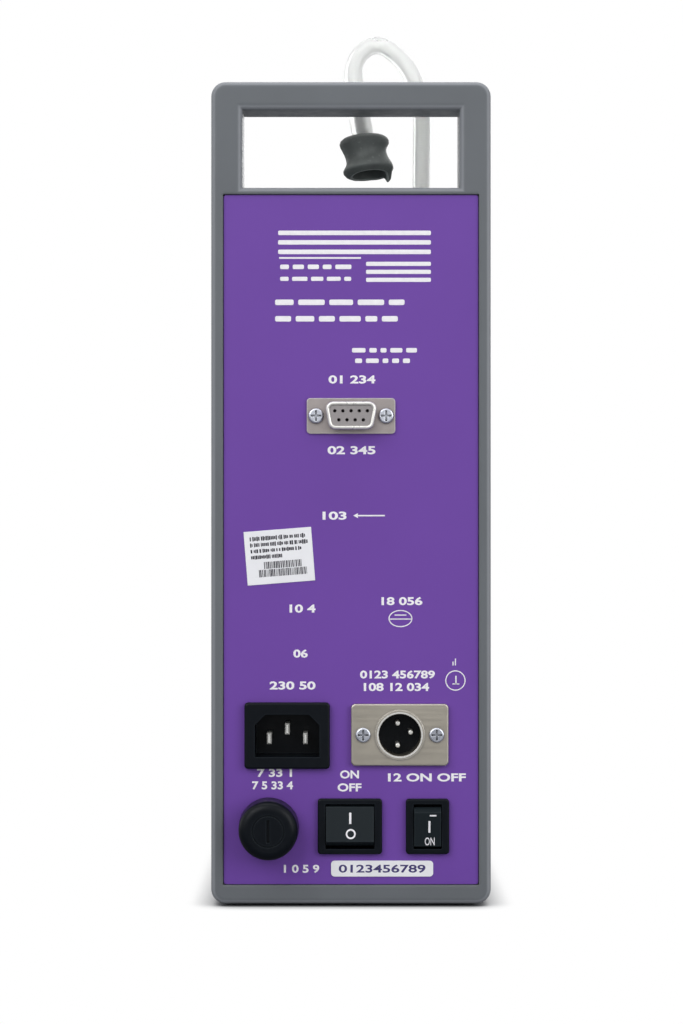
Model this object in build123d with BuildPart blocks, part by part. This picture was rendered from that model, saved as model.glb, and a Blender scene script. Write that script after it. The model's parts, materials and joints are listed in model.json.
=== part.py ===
from build123d import *

import os
from math import cos, radians, sin, tan

os.makedirs("parts", exist_ok=True)

# Milk analyzer: a tall narrow bench instrument, seen in the photograph from its connector side.
# Millimetres, +Z up. -Y is the connector side with the handle loop, +Y the display side, and
# +X is to the right when the connector side is looked at. The origin lies under the middle of
# the box that holds everything but the free hose.

# Housing
housing_width = 100.0
housing_depth = 250.0
body_height = 256.0
foot_proud = 1.0
corner_radius = 5.2
sheet = 1.5
flange_height = 12.0
cover_lap = 6.0
cover_gap = 0.3

# Moulded end frames
rear_frame_depth = 20.0
front_frame_depth = 22.0
frame_wall = 3.0
frame_edge_radius = 2.0
handle_post_width = 11.2
handle_window_height = 27.8
handle_bar_height = 10.0
handle_edge_radius = 2.2

# End panels
panel_side_border = 4.5
panel_bottom_border = 7.0
rear_panel_top_border = 2.7
panel_recess = 0.8
panel_thickness = 1.5
panel_gap = 0.2
panel_corner_radius = 1.0

# Where the middle of each connector lies across the panel, as a share of the panel's width
inlet_share = -0.2505
socket_share = 0.1912
serial_share = 0.0
fuse_share = -0.322
power_switch_share = -0.0044
dc_switch_share = 0.3
sticker_share = -0.2813
plate_share = 0.122

# Ledges behind the panels and gaps round what goes through them
ledge_width = 4.0
ledge_thickness = 2.5
cutout_gap = 0.2

# Fits, cuts and selections
overrun = 1.0
shaft_clearance = 0.05
pipe_clearance = 0.02
moving_gap = 0.3
select_margin = 0.01

# Vents and cover screws
vent_length = 26.0
vent_width = 2.4
vent_pitch = 6.0
vent_count = 8
vent_row_spacing = 110.0
vent_above_base = 60.0
cover_screw_inset = 18.0
cover_screw_radius = 1.4
cover_screw_length = 6.0
cover_screw_head_radius = 2.6
screw_slot_depth = 0.7
screw_slot_width = 0.7
screw_slot_share = 0.7

# Feet
foot_radius = 7.0
foot_stud_radius = 2.0
foot_head_radius = 2.8
foot_head_height = 1.2
foot_side_inset = 14.0
foot_end_inset = 16.0

# Mains inlet
inlet_rise = 60.2
inlet_bezel_width = 30.5
inlet_bezel_height = 23.7
inlet_bezel_proud = 2.6
inlet_bezel_corner = 1.4
inlet_bezel_round = 0.8
inlet_body_width = 27.0
inlet_body_height = 19.8
inlet_body_depth = 17.0
inlet_cavity_width = 23.1
inlet_cavity_height = 15.2
inlet_cavity_depth = 15.5
inlet_cavity_chamfer = 3.8
blade_width = 1.6
blade_height = 4.0
blade_spacing = 6.5
blade_tip_below_face = 3.0
blade_tip_chamfer = 0.5
line_blade_drop = 1.2
earth_blade_rise = 2.2
tab_length = 7.0

# Low-voltage socket
socket_rise = 60.5
socket_flange_width = 34.8
socket_flange_height = 22.1
socket_flange_thickness = 2.0
socket_flange_corner = 1.6
socket_flange_round = 0.5
socket_collar_radius = 8.85
socket_collar_proud = 0.8
socket_bore_radius = 7.55
socket_barrel_radius = 8.7
socket_barrel_depth = 12.0
socket_insert_thickness = 4.0
socket_insert_gap = 0.03
socket_pin_radius = 0.85
socket_pin_circle = 4.0
socket_pin_length = 9.0
socket_pin_tail = 5.0
socket_pin_angles = (100.0, 10.0, 260.0)
socket_screw_spacing = 26.2
pan_head_radius = 2.7
pan_head_height = 1.3
pan_head_round = 0.6
pan_screw_radius = 1.5
pan_screw_length = 7.0

# Serial socket
serial_rise = 174.3
serial_flange_width = 31.6
serial_flange_height = 12.7
serial_flange_thickness = 0.8
serial_flange_corner = 1.3
serial_step_width = 18.6
serial_step_height = 9.3
serial_step_proud = 0.7
serial_shell_width = 17.2
serial_shell_height = 8.4
serial_shell_proud = 5.8
serial_shell_wall = 0.5
serial_shell_corner = 1.9
serial_side_angle = 80.0
serial_insert_gap = 0.05
serial_insert_sink = 0.4
serial_contact_radius = 0.6
serial_contact_depth = 4.5
serial_contact_pitch = 2.9
serial_row_spacing = 3.2
serial_back_width = 18.4
serial_back_height = 10.4
serial_back_depth = 8.0
serial_hole_spacing = 25.0
serial_screw_head_radius = 2.7
serial_screw_head_height = 1.5

# Fuse holder with a screw cap
fuse_rise = 27.4
fuse_cap_radius = 10.8
fuse_cap_proud = 13.0
fuse_cap_draft = 0.4
fuse_cap_round = 3.0
fuse_cap_seat_gap = 0.4
cap_ring_radius = 5.8
cap_ring_width = 0.5
cap_ring_depth = 0.4
coin_slot_width = 1.2
coin_slot_depth = 1.0
coin_slot_length = 8.2
fuse_neck_radius = 8.0
fuse_neck_length = 7.5
fuse_flange_radius = 10.4
fuse_flange_thickness = 1.2
fuse_barrel_radius = 6.6
fuse_barrel_length = 30.0
fuse_nut_width = 18.0
fuse_nut_thickness = 3.0
fuse_link_radius = 2.6
fuse_link_length = 20.0
fuse_socket_depth = 3.0
fuse_bore_gap = 0.6

# Rocker switches
rocker_bezel_proud = 2.0
rocker_bezel_corner = 1.2
rocker_bezel_round = 0.6
rocker_wall = 1.3
rocker_pocket_depth = 10.5
rocker_body_depth = 15.0
rocker_side_gap = 0.25
rocker_pivot_depth = 5.0
rocker_pivot_radius = 1.4
rocker_pivot_reach = 0.8
rocker_face_height = 5.9
rocker_face_half = 6.2
rocker_end_half = 7.4
rocker_end_height = 3.0
rocker_foot_half = 6.6
rocker_foot_depth = 1.2
rocker_keel_depth = 3.4
rocker_keel_half = 2.5
rocker_tilt = 9.0
switch_rise = 27.8
power_bezel_width = 23.0
power_bezel_height = 19.8
power_opening_width = 17.5
dc_bezel_width = 15.5
dc_bezel_height = 19.7
dc_opening_width = 10.1
rocker_opening_height = 16.0
terminal_width = 4.8
terminal_thickness = 0.8
terminal_length = 8.0
terminal_spacing = 7.0

# Sticker and number plate
sticker_rise = 124.2
sticker_width = 24.2
sticker_height = 19.2
sticker_thickness = 0.2
sticker_turn = 4.5
plate_rise = 12.6
plate_width = 36.5
plate_height = 5.7
plate_corner = 1.3
plate_thickness = 0.3

# Rinse hose, its grommet and rubber adaptor
hose_diameter = 6.0
hose_bore_radius = 1.9
grommet_flange_radius = 7.0
grommet_flange_height = 1.4
grommet_collar_radius = 4.6
grommet_collar_height = 3.2
grommet_neck_radius = 4.4
grommet_lip_height = 1.5
adaptor_length = 15.6
adaptor_shoulder_radius = 4.6
adaptor_upper_rim_radius = 8.9
adaptor_upper_rim_drop = 2.3
adaptor_waist_radius = 7.0
adaptor_waist_drop = 6.6
adaptor_lower_rim_radius = 8.5
adaptor_lower_rim_drop = 11.7
adaptor_top_slope = 0.3
adaptor_foot_slope = 0.8
adaptor_mouth_radius = 6.2
adaptor_mouth_edge_radius = 7.2
adaptor_mouth_depth = 8.0
adaptor_socket_depth = 5.3
adaptor_channel_radius = 1.9

# Corners of the rinse hose, from under the deck to the adaptor: across the housing, beyond the
# rear frame's inner face, and above the deck
hose_corners = [
    (26.05, 12.0, -5.0),
    (26.05, 12.0, 13.5),
    (26.5, 12.5, 32.0),
    (23.6, 13.1, 44.5),
    (18.6, 13.2, 52.0),
    (9.6, 12.9, 58.2),
    (1.2, 12.2, 51.8),
    (0.9, 12.1, 39.5),
    (3.3, 12.0, 29.0),
    (5.0, 11.0, 17.6),
]

# Front panel, display and keys: a drop is measured down from the top of the body
window_side_border = 12.5
window_height = 26.0
window_drop = 35.0
lcd_border = 1.0
lcd_height = 34.0
lcd_depth = 7.0
key_radius = 6.0
key_hole_gap = 0.15
key_proud = 1.2
key_flange_radius = 6.8
key_flange_thickness = 1.2
key_stem_radius = 2.5
key_travel = 0.8
key_dish_radius = 4.2
key_dish_depth = 0.4
key_side_border = 15.5
key_count = 4
key_drop = 69.0
board_thickness = 1.6
display_board_side = 4.5
display_board_height = 68.0
display_board_drop = 46.0
boss_radius = 3.0
boss_inset = 3.4
tact_size = 6.0
tact_height = 3.5

# Sample bay and intake
bay_side_border = 8.5
bay_drop = 132.5
bay_depth = 60.0
bay_wall = 2.0
bay_corner_radius = 5.0
bay_above_base = 15.5
bay_lip_width = 2.2
bay_lip_thickness = 1.4
cup_ring_radius = 30.0
cup_ring_width = 2.0
cup_ring_height = 1.0
intake_from_panel = 30.0
pipe_radius = 2.0
pipe_bore_radius = 1.5
pipe_tip_above_floor = 24.0
pipe_bead_above_tip = 20.0
pipe_bead_radius = 2.7
pipe_bead_height = 1.2
pipe_bead_round = 0.4
fitting_flange_radius = 7.0
fitting_flange_height = 3.0
fitting_neck_radius = 5.0
fitting_nut_width = 13.0
fitting_nut_height = 4.0
line_radius = 2.4
line_bore_radius = 1.5
line_stub_length = 2.5

# Each bend of a tube takes up this share of the shorter run beside it
route_bend_share = 0.45

# Corners of the outlet line, from behind the pump to below the deck: across the housing, share of
# the way from the pump to the hose, and below the deck
outlet_corners = [
    (22.0, 0.187, 116.0),
    (27.0, 0.419, 110.0),
    (28.5, 0.663, 91.0),
    (27.0, 0.859, 65.0),
    (26.05, 1.0, 35.0),
]

# Inner bracket, measuring cell and pump
bracket_thickness = 2.0
bracket_width = 72.0
bracket_above_pump = 28.0
bracket_foot = 14.0
bracket_hole_radius = 4.2
cell_width = 34.0
cell_depth = 20.0
cell_height = 24.0
cell_centre_x = -9.5
cell_above_bay = 8.0
cell_edge_radius = 1.5
transducer_radius = 7.0
transducer_length = 6.0
pump_above_cell = 37.5
pump_depth = 22.0
pump_back_wall = 3.0
pump_outer_radius = 25.0
pump_leg_height = 22.0
tube_arc_radius = 19.0
tube_track_gap = 0.05
pump_tube_tail = 28.0
outlet_drop = 19.0
roller_radius = 4.5
roller_length = 8.6
roller_count = 3
roller_pin_radius = 1.5
rotor_plate_radius = 13.6
rotor_plate_thickness = 2.0
rotor_hub_radius = 6.0
rotor_shaft_radius = 3.0
rotor_shaft_reach = 10.0
motor_radius = 18.0
motor_length = 44.0
motor_flange_width = 42.0
motor_flange_thickness = 3.0
motor_can_radius = 14.0
motor_can_length = 20.0

# Main board and transformer
standoff_radius = 2.5
standoff_height = 8.0
main_board_rear_gap = 1.1
main_board_end_gap = 66.9
main_board_height = 120.0
main_board_rise = 149.0
board_hole_inset = 6.0
chip_height = 2.5
chip_size = 14.0
relay_height = 10.0
relay_size = 16.0
capacitor_radius = 7.0
capacitor_height = 16.0
capacitor_spacing = 17.0
capacitor_count = 3
sink_width = 30.0
sink_height = 44.0
sink_base = 3.0
sink_fin_depth = 14.0
sink_fin_thickness = 1.4
sink_fin_pitch = 5.0
sink_fin_count = 6
core_width = 60.0
core_height = 50.0
core_depth = 28.0
core_leg = 10.0
core_centre_leg = 20.0
core_yoke = 10.0
core_foot_side_gap = 11.0
core_foot_thickness = 2.0
coil_bulge = 9.0
coil_gap = 0.2
coil_round = 3.0
core_x = 4.0
core_from_rear = 79.1

# Places worked out from the sizes above
cap_beyond = fuse_cap_proud - panel_recess
key_beyond = key_proud - panel_recess
rear_y = -(housing_depth + cap_beyond + key_beyond) / 2 + cap_beyond
front_y = rear_y + housing_depth
body_top = foot_proud + body_height
body_centre_z = foot_proud + body_height / 2
frame_height = body_height + handle_window_height + handle_bar_height
frame_centre_z = foot_proud + frame_height / 2
handle_top = body_top + handle_window_height
handle_centre_z = body_top + handle_window_height / 2
handle_window_width = housing_width - 2 * handle_post_width
cover_rear_y = rear_y + rear_frame_depth
cover_front_y = front_y - front_frame_depth
cover_length = cover_front_y - cover_rear_y
cover_middle_y = (cover_rear_y + cover_front_y) / 2
base_top = foot_proud + sheet

panel_width = housing_width - 2 * panel_side_border
panel_bottom = foot_proud + panel_bottom_border
rear_panel_top = body_top - rear_panel_top_border
rear_panel_height = rear_panel_top - panel_bottom
rear_panel_centre_z = panel_bottom + rear_panel_height / 2
front_panel_top = body_top - panel_bottom_border
front_panel_height = front_panel_top - panel_bottom
front_panel_centre_z = panel_bottom + front_panel_height / 2
inlet_x = panel_width * inlet_share
socket_x = panel_width * socket_share
serial_x = panel_width * serial_share
fuse_x = panel_width * fuse_share
power_switch_x = panel_width * power_switch_share
dc_switch_x = panel_width * dc_switch_share
sticker_x = panel_width * sticker_share
plate_x = panel_width * plate_share
inlet_z = foot_proud + inlet_rise
socket_z = foot_proud + socket_rise
serial_z = foot_proud + serial_rise
fuse_z = foot_proud + fuse_rise
switch_z = foot_proud + switch_rise
sticker_z = foot_proud + sticker_rise
plate_z = foot_proud + plate_rise
panel_seat = panel_recess + panel_thickness
ledge_back = panel_seat + ledge_thickness
rear_face_y = rear_y + panel_recess
rear_inner_y = rear_y + panel_seat
front_face_y = front_y - panel_recess
front_inner_y = front_y - panel_seat

window_width = panel_width - 2 * window_side_border
window_z = body_top - window_drop
key_spacing = (panel_width - 2 * key_side_border) / (key_count - 1)
key_z = body_top - key_drop
display_board_width = panel_width - 2 * display_board_side
display_board_z = body_top - display_board_drop
bay_width = panel_width - 2 * bay_side_border
bay_floor_z = foot_proud + bay_above_base
bay_top_z = body_top - bay_drop
bay_height = bay_top_z - bay_floor_z
bay_roof_z = bay_top_z + bay_wall
cell_low_z = bay_roof_z + cell_above_bay
cell_top_z = cell_low_z + cell_height
pump_z = cell_top_z + pump_above_cell
bracket_top_z = pump_z + bracket_above_pump
main_board_depth = cover_length - main_board_rear_gap - main_board_end_gap
main_board_y = cover_rear_y + main_board_rear_gap + main_board_depth / 2
main_board_z = foot_proud + main_board_rise
core_y = rear_y + core_from_rear
core_foot_width = housing_width - 2 * core_foot_side_gap
hose_route = [(x, cover_rear_y + beyond, body_top + rise) for x, beyond, rise in hose_corners]


def face_at(y):
    """Upright plane across the housing that looks out of the connector side."""
    return Plane.XZ.offset(-y)


def looking(direction, x, y, z):
    """Place on a surface whose outward side is the given direction."""
    return Location(Plane(origin=(x, y, z), z_dir=direction))


to_rear = (0, -1, 0)
to_front = (0, 1, 0)
to_right = (1, 0, 0)
to_left = (-1, 0, 0)

# Rear frame: one moulding with the handle loop above the body
with BuildPart() as rear_frame:
    with BuildSketch(face_at(rear_y)):
        with Locations((0, frame_centre_z)):
            RectangleRounded(housing_width, frame_height, corner_radius)
    extrude(amount=-rear_frame_depth)
    fillet(rear_frame.faces().sort_by(Axis.Y)[0].edges(), frame_edge_radius)
    with BuildSketch(face_at(rear_y)):
        with Locations((0, handle_centre_z)):
            Rectangle(handle_window_width, handle_window_height)
    extrude(amount=-rear_frame_depth, mode=Mode.SUBTRACT)
    handle_edges = (
        rear_frame.edges()
        .filter_by_position(Axis.Z, body_top - select_margin, handle_top + select_margin)
        .filter_by_position(
            Axis.X,
            -handle_window_width / 2 - select_margin,
            handle_window_width / 2 + select_margin,
        )
        .filter_by(Axis.Y, reverse=True)
    )
    fillet(handle_edges, handle_edge_radius)
    with BuildSketch(face_at(rear_y)):
        with Locations((0, rear_panel_centre_z)):
            Rectangle(panel_width + 2 * panel_gap, rear_panel_height + 2 * panel_gap)
    extrude(amount=-panel_seat, mode=Mode.SUBTRACT)
    with BuildSketch(face_at(rear_y)):
        with Locations((0, rear_panel_centre_z)):
            Rectangle(panel_width - 2 * ledge_width, rear_panel_height - 2 * ledge_width)
    extrude(amount=-rear_frame_depth, mode=Mode.SUBTRACT)
    with BuildSketch(face_at(rear_y + ledge_back)):
        with Locations((0, rear_panel_top - ledge_width)):
            Rectangle(
                housing_width - 2 * frame_wall,
                rear_panel_top - ledge_width - foot_proud - frame_wall,
                align=(Align.CENTER, Align.MAX),
            )
    extrude(amount=ledge_back - rear_frame_depth, mode=Mode.SUBTRACT)
rear_frame.part.label = "rear_frame"
export_step(rear_frame.part, "parts/rear_frame.step")

# Front frame: the same section round the display side, without a loop
with BuildPart() as front_frame:
    with BuildSketch(face_at(front_y)):
        with Locations((0, body_centre_z)):
            RectangleRounded(housing_width, body_height, corner_radius)
    extrude(amount=front_frame_depth)
    fillet(front_frame.faces().sort_by(Axis.Y)[-1].edges(), frame_edge_radius)
    with BuildSketch(face_at(front_y)):
        with Locations((0, front_panel_centre_z)):
            Rectangle(panel_width + 2 * panel_gap, front_panel_height + 2 * panel_gap)
    extrude(amount=panel_seat, mode=Mode.SUBTRACT)
    with BuildSketch(face_at(front_y)):
        with Locations((0, front_panel_centre_z)):
            Rectangle(panel_width - 2 * ledge_width, front_panel_height - 2 * ledge_width)
    extrude(amount=front_frame_depth, mode=Mode.SUBTRACT)
    with BuildSketch(face_at(front_y - ledge_back)):
        with Locations((0, body_centre_z)):
            RectangleRounded(
                housing_width - 2 * frame_wall,
                body_height - 2 * frame_wall,
                corner_radius - frame_wall,
            )
    extrude(amount=front_frame_depth - ledge_back, mode=Mode.SUBTRACT)
front_frame.part.label = "front_frame"
export_step(front_frame.part, "parts/front_frame.step")

# Places of the cover screws: in the flanges of the deck and of the base, on both sides
cover_screw_low_z = foot_proud + flange_height - cover_lap / 2
cover_screw_high_z = body_top - flange_height + cover_lap / 2
cover_screw_ys = (cover_rear_y + cover_screw_inset, cover_front_y - cover_screw_inset)
cover_screw_places = {
    z: [
        looking(to_right if side > 0 else to_left, side * housing_width / 2, y, z)
        for side in (-1, 1)
        for y in cover_screw_ys
    ]
    for z in (cover_screw_low_z, cover_screw_high_z)
}

hose_x, hose_y = hose_route[0][:2]

# Top deck: a bent sheet between the frames, level with the foot of the handle window
with BuildPart() as top_deck:
    with BuildSketch(face_at(cover_front_y)):
        with Locations((0, body_centre_z)):
            RectangleRounded(housing_width, body_height, corner_radius)
            RectangleRounded(
                housing_width - 2 * sheet,
                body_height - 2 * sheet,
                corner_radius - sheet,
                mode=Mode.SUBTRACT,
            )
        with Locations((0, body_top)):
            Rectangle(housing_width, 2 * flange_height, mode=Mode.INTERSECT)
    extrude(amount=cover_length)
    with Locations((hose_x, hose_y, body_top)):
        Hole(grommet_neck_radius + shaft_clearance, depth=2 * sheet)
    with Locations(*cover_screw_places[cover_screw_high_z]):
        CounterSinkHole(
            cover_screw_radius + shaft_clearance,
            cover_screw_head_radius + shaft_clearance,
            depth=2 * sheet,
            counter_sink_angle=90,
        )
top_deck.part.label = "top_deck"
export_step(top_deck.part, "parts/top_deck.step")

foot_places = [
    (side * (housing_width / 2 - foot_side_inset), y)
    for side in (-1, 1)
    for y in (cover_rear_y + foot_end_inset, cover_front_y - foot_end_inset)
]

# Base plate: the same bent sheet, upside down
with BuildPart() as base_plate:
    with BuildSketch(face_at(cover_front_y)):
        with Locations((0, body_centre_z)):
            RectangleRounded(housing_width, body_height, corner_radius)
            RectangleRounded(
                housing_width - 2 * sheet,
                body_height - 2 * sheet,
                corner_radius - sheet,
                mode=Mode.SUBTRACT,
            )
        with Locations((0, foot_proud)):
            Rectangle(housing_width, 2 * flange_height, mode=Mode.INTERSECT)
    extrude(amount=cover_length)
    with Locations(*[(x, y, base_top) for x, y in foot_places]):
        Hole(foot_stud_radius + shaft_clearance, depth=2 * sheet)
    with Locations(*cover_screw_places[cover_screw_low_z]):
        CounterSinkHole(
            cover_screw_radius + shaft_clearance,
            cover_screw_head_radius + shaft_clearance,
            depth=2 * sheet,
            counter_sink_angle=90,
        )
base_plate.part.label = "base_plate"
export_step(base_plate.part, "parts/base_plate.step")

# Side covers: flat sheets with joggled edges behind the flanges, and two rows of vents
side_low = foot_proud + flange_height + cover_gap
side_high = body_top - flange_height - cover_gap
side_height = side_high - side_low
side_centre_z = (side_low + side_high) / 2
vent_z = side_low + vent_above_base
standoff_places = [
    (main_board_y + dy, main_board_z + dz)
    for dy in (board_hole_inset - main_board_depth / 2, main_board_depth / 2 - board_hole_inset)
    for dz in (board_hole_inset - main_board_height / 2, main_board_height / 2 - board_hole_inset)
]
lap_middle = housing_width / 2 - sheet * 3 / 2
lap_height = cover_lap + cover_gap + sheet

for side, cover_name in ((-1, "left_cover"), (1, "right_cover")):
    with BuildPart() as side_cover:
        with BuildSketch(face_at(cover_front_y)):
            with Locations((side * (housing_width - sheet) / 2, side_centre_z)):
                Rectangle(sheet, side_height)
            with Locations((side * lap_middle, side_low + sheet)):
                Rectangle(sheet, lap_height, align=(Align.CENTER, Align.MAX))
            with Locations((side * lap_middle, side_high - sheet)):
                Rectangle(sheet, lap_height, align=(Align.CENTER, Align.MIN))
        extrude(amount=cover_length)
        with BuildSketch(Plane.YZ.offset(side * housing_width / 2)):
            with Locations((cover_middle_y, vent_z)):
                with GridLocations(vent_row_spacing, vent_pitch, 2, vent_count):
                    SlotOverall(vent_length, vent_width)
        extrude(amount=-side * 2 * sheet, mode=Mode.SUBTRACT)
        screw_places = [
            place for z in cover_screw_places for place in cover_screw_places[z]
            if place.position.X * side > 0
        ]
        with Locations(*screw_places):
            Hole(cover_screw_radius + shaft_clearance, depth=cover_screw_length)
        if side < 0:
            with BuildSketch(Plane.YZ.offset(sheet - housing_width / 2)):
                with Locations(*standoff_places):
                    Circle(standoff_radius)
            extrude(amount=standoff_height)
    side_cover.part.label = cover_name
    export_step(side_cover.part, f"parts/{cover_name}.step")

# Cover screws: eight countersunk screws, flush with the flanges
with BuildPart() as cover_screws:
    head_height = cover_screw_head_radius - cover_screw_radius
    all_places = [place for places in cover_screw_places.values() for place in places]
    with Locations(*all_places):
        Cone(
            cover_screw_radius,
            cover_screw_head_radius,
            head_height,
            align=(Align.CENTER, Align.CENTER, Align.MAX),
        )
        Cylinder(
            cover_screw_radius,
            cover_screw_length,
            align=(Align.CENTER, Align.CENTER, Align.MAX),
        )
        for turn in (0, 90):
            Box(
                2 * cover_screw_head_radius * screw_slot_share,
                screw_slot_width,
                screw_slot_depth,
                rotation=(0, 0, turn),
                align=(Align.CENTER, Align.CENTER, Align.MAX),
                mode=Mode.SUBTRACT,
            )
cover_screws.part.label = "cover_screws"
export_step(cover_screws.part, "parts/cover_screws.step")

# Feet: four pushed-in rubber discs
with BuildPart() as feet:
    with BuildSketch(Plane.XY):
        with Locations(*foot_places):
            Circle(foot_radius)
    extrude(amount=foot_proud)
    with BuildSketch(Plane.XY):
        with Locations(*foot_places):
            Circle(foot_stud_radius)
    extrude(amount=base_top + foot_head_height)
    with BuildSketch(Plane.XY.offset(base_top)):
        with Locations(*foot_places):
            Circle(foot_head_radius)
    extrude(amount=foot_head_height)
feet.part.label = "feet"
export_step(feet.part, "parts/feet.step")

# Rear panel: the plate that carries the connectors
socket_screw_places = [(socket_x + side * socket_screw_spacing / 2, socket_z) for side in (-1, 1)]
serial_screw_places = [(serial_x + side * serial_hole_spacing / 2, serial_z) for side in (-1, 1)]
rocker_body_height = rocker_opening_height + 2 * rocker_wall

with BuildPart() as rear_panel:
    with BuildSketch(face_at(rear_face_y)):
        with Locations((0, rear_panel_centre_z)):
            RectangleRounded(panel_width, rear_panel_height, panel_corner_radius)
        with Locations((inlet_x, inlet_z)):
            Rectangle(
                inlet_body_width + 2 * cutout_gap,
                inlet_body_height + 2 * cutout_gap,
                mode=Mode.SUBTRACT,
            )
        with Locations((socket_x, socket_z)):
            Circle(socket_barrel_radius + cutout_gap, mode=Mode.SUBTRACT)
        with Locations(*socket_screw_places):
            Circle(pan_screw_radius + shaft_clearance, mode=Mode.SUBTRACT)
        with Locations((serial_x, serial_z)):
            Rectangle(
                serial_back_width + 2 * cutout_gap,
                serial_back_height + 2 * cutout_gap,
                mode=Mode.SUBTRACT,
            )
        with Locations(*serial_screw_places):
            Circle(pan_screw_radius + shaft_clearance, mode=Mode.SUBTRACT)
        with Locations((fuse_x, fuse_z)):
            Circle(fuse_barrel_radius + cutout_gap, mode=Mode.SUBTRACT)
        for switch_x, opening_width in (
            (power_switch_x, power_opening_width),
            (dc_switch_x, dc_opening_width),
        ):
            with Locations((switch_x, switch_z)):
                Rectangle(
                    opening_width + 2 * rocker_wall + 2 * cutout_gap,
                    rocker_body_height + 2 * cutout_gap,
                    mode=Mode.SUBTRACT,
                )
    extrude(amount=-panel_thickness)
rear_panel.part.label = "rear_panel"
export_step(rear_panel.part, "parts/rear_panel.step")

# Mains inlet: a moulded body with a chamfered cavity
inlet_face_y = rear_face_y - inlet_bezel_proud
inlet_floor_y = inlet_face_y + inlet_cavity_depth
inlet_back_y = rear_inner_y + inlet_body_depth
blade_places = [
    (inlet_x - blade_spacing, inlet_z - line_blade_drop),
    (inlet_x, inlet_z + earth_blade_rise),
    (inlet_x + blade_spacing, inlet_z - line_blade_drop),
]

with BuildPart() as mains_inlet_body:
    with BuildSketch(face_at(rear_face_y)):
        with Locations((inlet_x, inlet_z)):
            RectangleRounded(inlet_bezel_width, inlet_bezel_height, inlet_bezel_corner)
    extrude(amount=inlet_bezel_proud)
    fillet(mains_inlet_body.faces().sort_by(Axis.Y)[0].edges(), inlet_bezel_round)
    with BuildSketch(face_at(rear_face_y)):
        with Locations((inlet_x, inlet_z)):
            Rectangle(inlet_body_width, inlet_body_height)
    extrude(amount=rear_face_y - inlet_back_y)
    with BuildSketch(face_at(inlet_face_y)) as inlet_mouth:
        with Locations((inlet_x, inlet_z)):
            Rectangle(inlet_cavity_width, inlet_cavity_height)
        chamfer(inlet_mouth.vertices().group_by(Axis.Y)[-1], inlet_cavity_chamfer)
    extrude(amount=-inlet_cavity_depth, mode=Mode.SUBTRACT)
    with BuildSketch(face_at(inlet_floor_y)):
        with Locations(*blade_places):
            Rectangle(blade_width + 2 * shaft_clearance, blade_height + 2 * shaft_clearance)
    extrude(amount=inlet_floor_y - inlet_back_y, mode=Mode.SUBTRACT)
mains_inlet_body.part.label = "mains_inlet_body"
export_step(mains_inlet_body.part, "parts/mains_inlet_body.step")

# Mains inlet blades: three flat blades that end in tabs inside the housing
blade_tip_y = inlet_face_y + blade_tip_below_face
with BuildPart() as mains_inlet_blades:
    with BuildSketch(face_at(blade_tip_y)):
        with Locations(*blade_places):
            Rectangle(blade_width, blade_height)
    extrude(amount=blade_tip_y - inlet_back_y - tab_length)
    tip_edges = mains_inlet_blades.edges().group_by(Axis.Y)[0]
    chamfer(tip_edges, blade_tip_chamfer)
mains_inlet_blades.part.label = "mains_inlet_blades"
export_step(mains_inlet_blades.part, "parts/mains_inlet_blades.step")

# Low-voltage socket: a cast flange with a collar, bored through
socket_face_y = rear_face_y - socket_flange_thickness
socket_barrel_end_y = rear_inner_y + socket_barrel_depth
with BuildPart() as dc_socket_flange:
    with BuildSketch(face_at(rear_face_y)):
        with Locations((socket_x, socket_z)):
            RectangleRounded(socket_flange_width, socket_flange_height, socket_flange_corner)
    extrude(amount=socket_flange_thickness)
    fillet(dc_socket_flange.faces().sort_by(Axis.Y)[0].edges(), socket_flange_round)
    with BuildSketch(face_at(socket_face_y)):
        with Locations((socket_x, socket_z)):
            Circle(socket_collar_radius)
    extrude(amount=socket_collar_proud)
    with BuildSketch(face_at(rear_face_y)):
        with Locations((socket_x, socket_z)):
            Circle(socket_barrel_radius)
    extrude(amount=rear_face_y - socket_barrel_end_y)
    with Locations(looking(to_rear, socket_x, socket_face_y - socket_collar_proud, socket_z)):
        Hole(socket_bore_radius)
    with Locations(*[looking(to_rear, x, socket_face_y, z) for x, z in socket_screw_places]):
        Hole(pan_screw_radius + shaft_clearance)
dc_socket_flange.part.label = "dc_socket_flange"
export_step(dc_socket_flange.part, "parts/dc_socket_flange.step")

# Low-voltage socket insert: the insulating disc at the bottom of the bore
socket_floor_y = socket_barrel_end_y - socket_insert_thickness
socket_pin_places = [
    (
        socket_x + socket_pin_circle * cos(radians(angle)),
        socket_z + socket_pin_circle * sin(radians(angle)),
    )
    for angle in socket_pin_angles
]
with BuildPart() as dc_socket_insert:
    with BuildSketch(face_at(socket_floor_y)):
        with Locations((socket_x, socket_z)):
            Circle(socket_bore_radius - socket_insert_gap)
        with Locations(*socket_pin_places):
            Circle(socket_pin_radius + pipe_clearance, mode=Mode.SUBTRACT)
    extrude(amount=-socket_insert_thickness)
dc_socket_insert.part.label = "dc_socket_insert"
export_step(dc_socket_insert.part, "parts/dc_socket_insert.step")

# Low-voltage socket pins
with BuildPart() as dc_socket_pins:
    with BuildSketch(face_at(socket_floor_y - socket_pin_length)):
        with Locations(*socket_pin_places):
            Circle(socket_pin_radius)
    extrude(amount=-(socket_pin_length + socket_insert_thickness + socket_pin_tail))
    fillet(dc_socket_pins.edges().group_by(Axis.Y)[0], socket_pin_radius / 2)
dc_socket_pins.part.label = "dc_socket_pins"
export_step(dc_socket_pins.part, "parts/dc_socket_pins.step")


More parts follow.
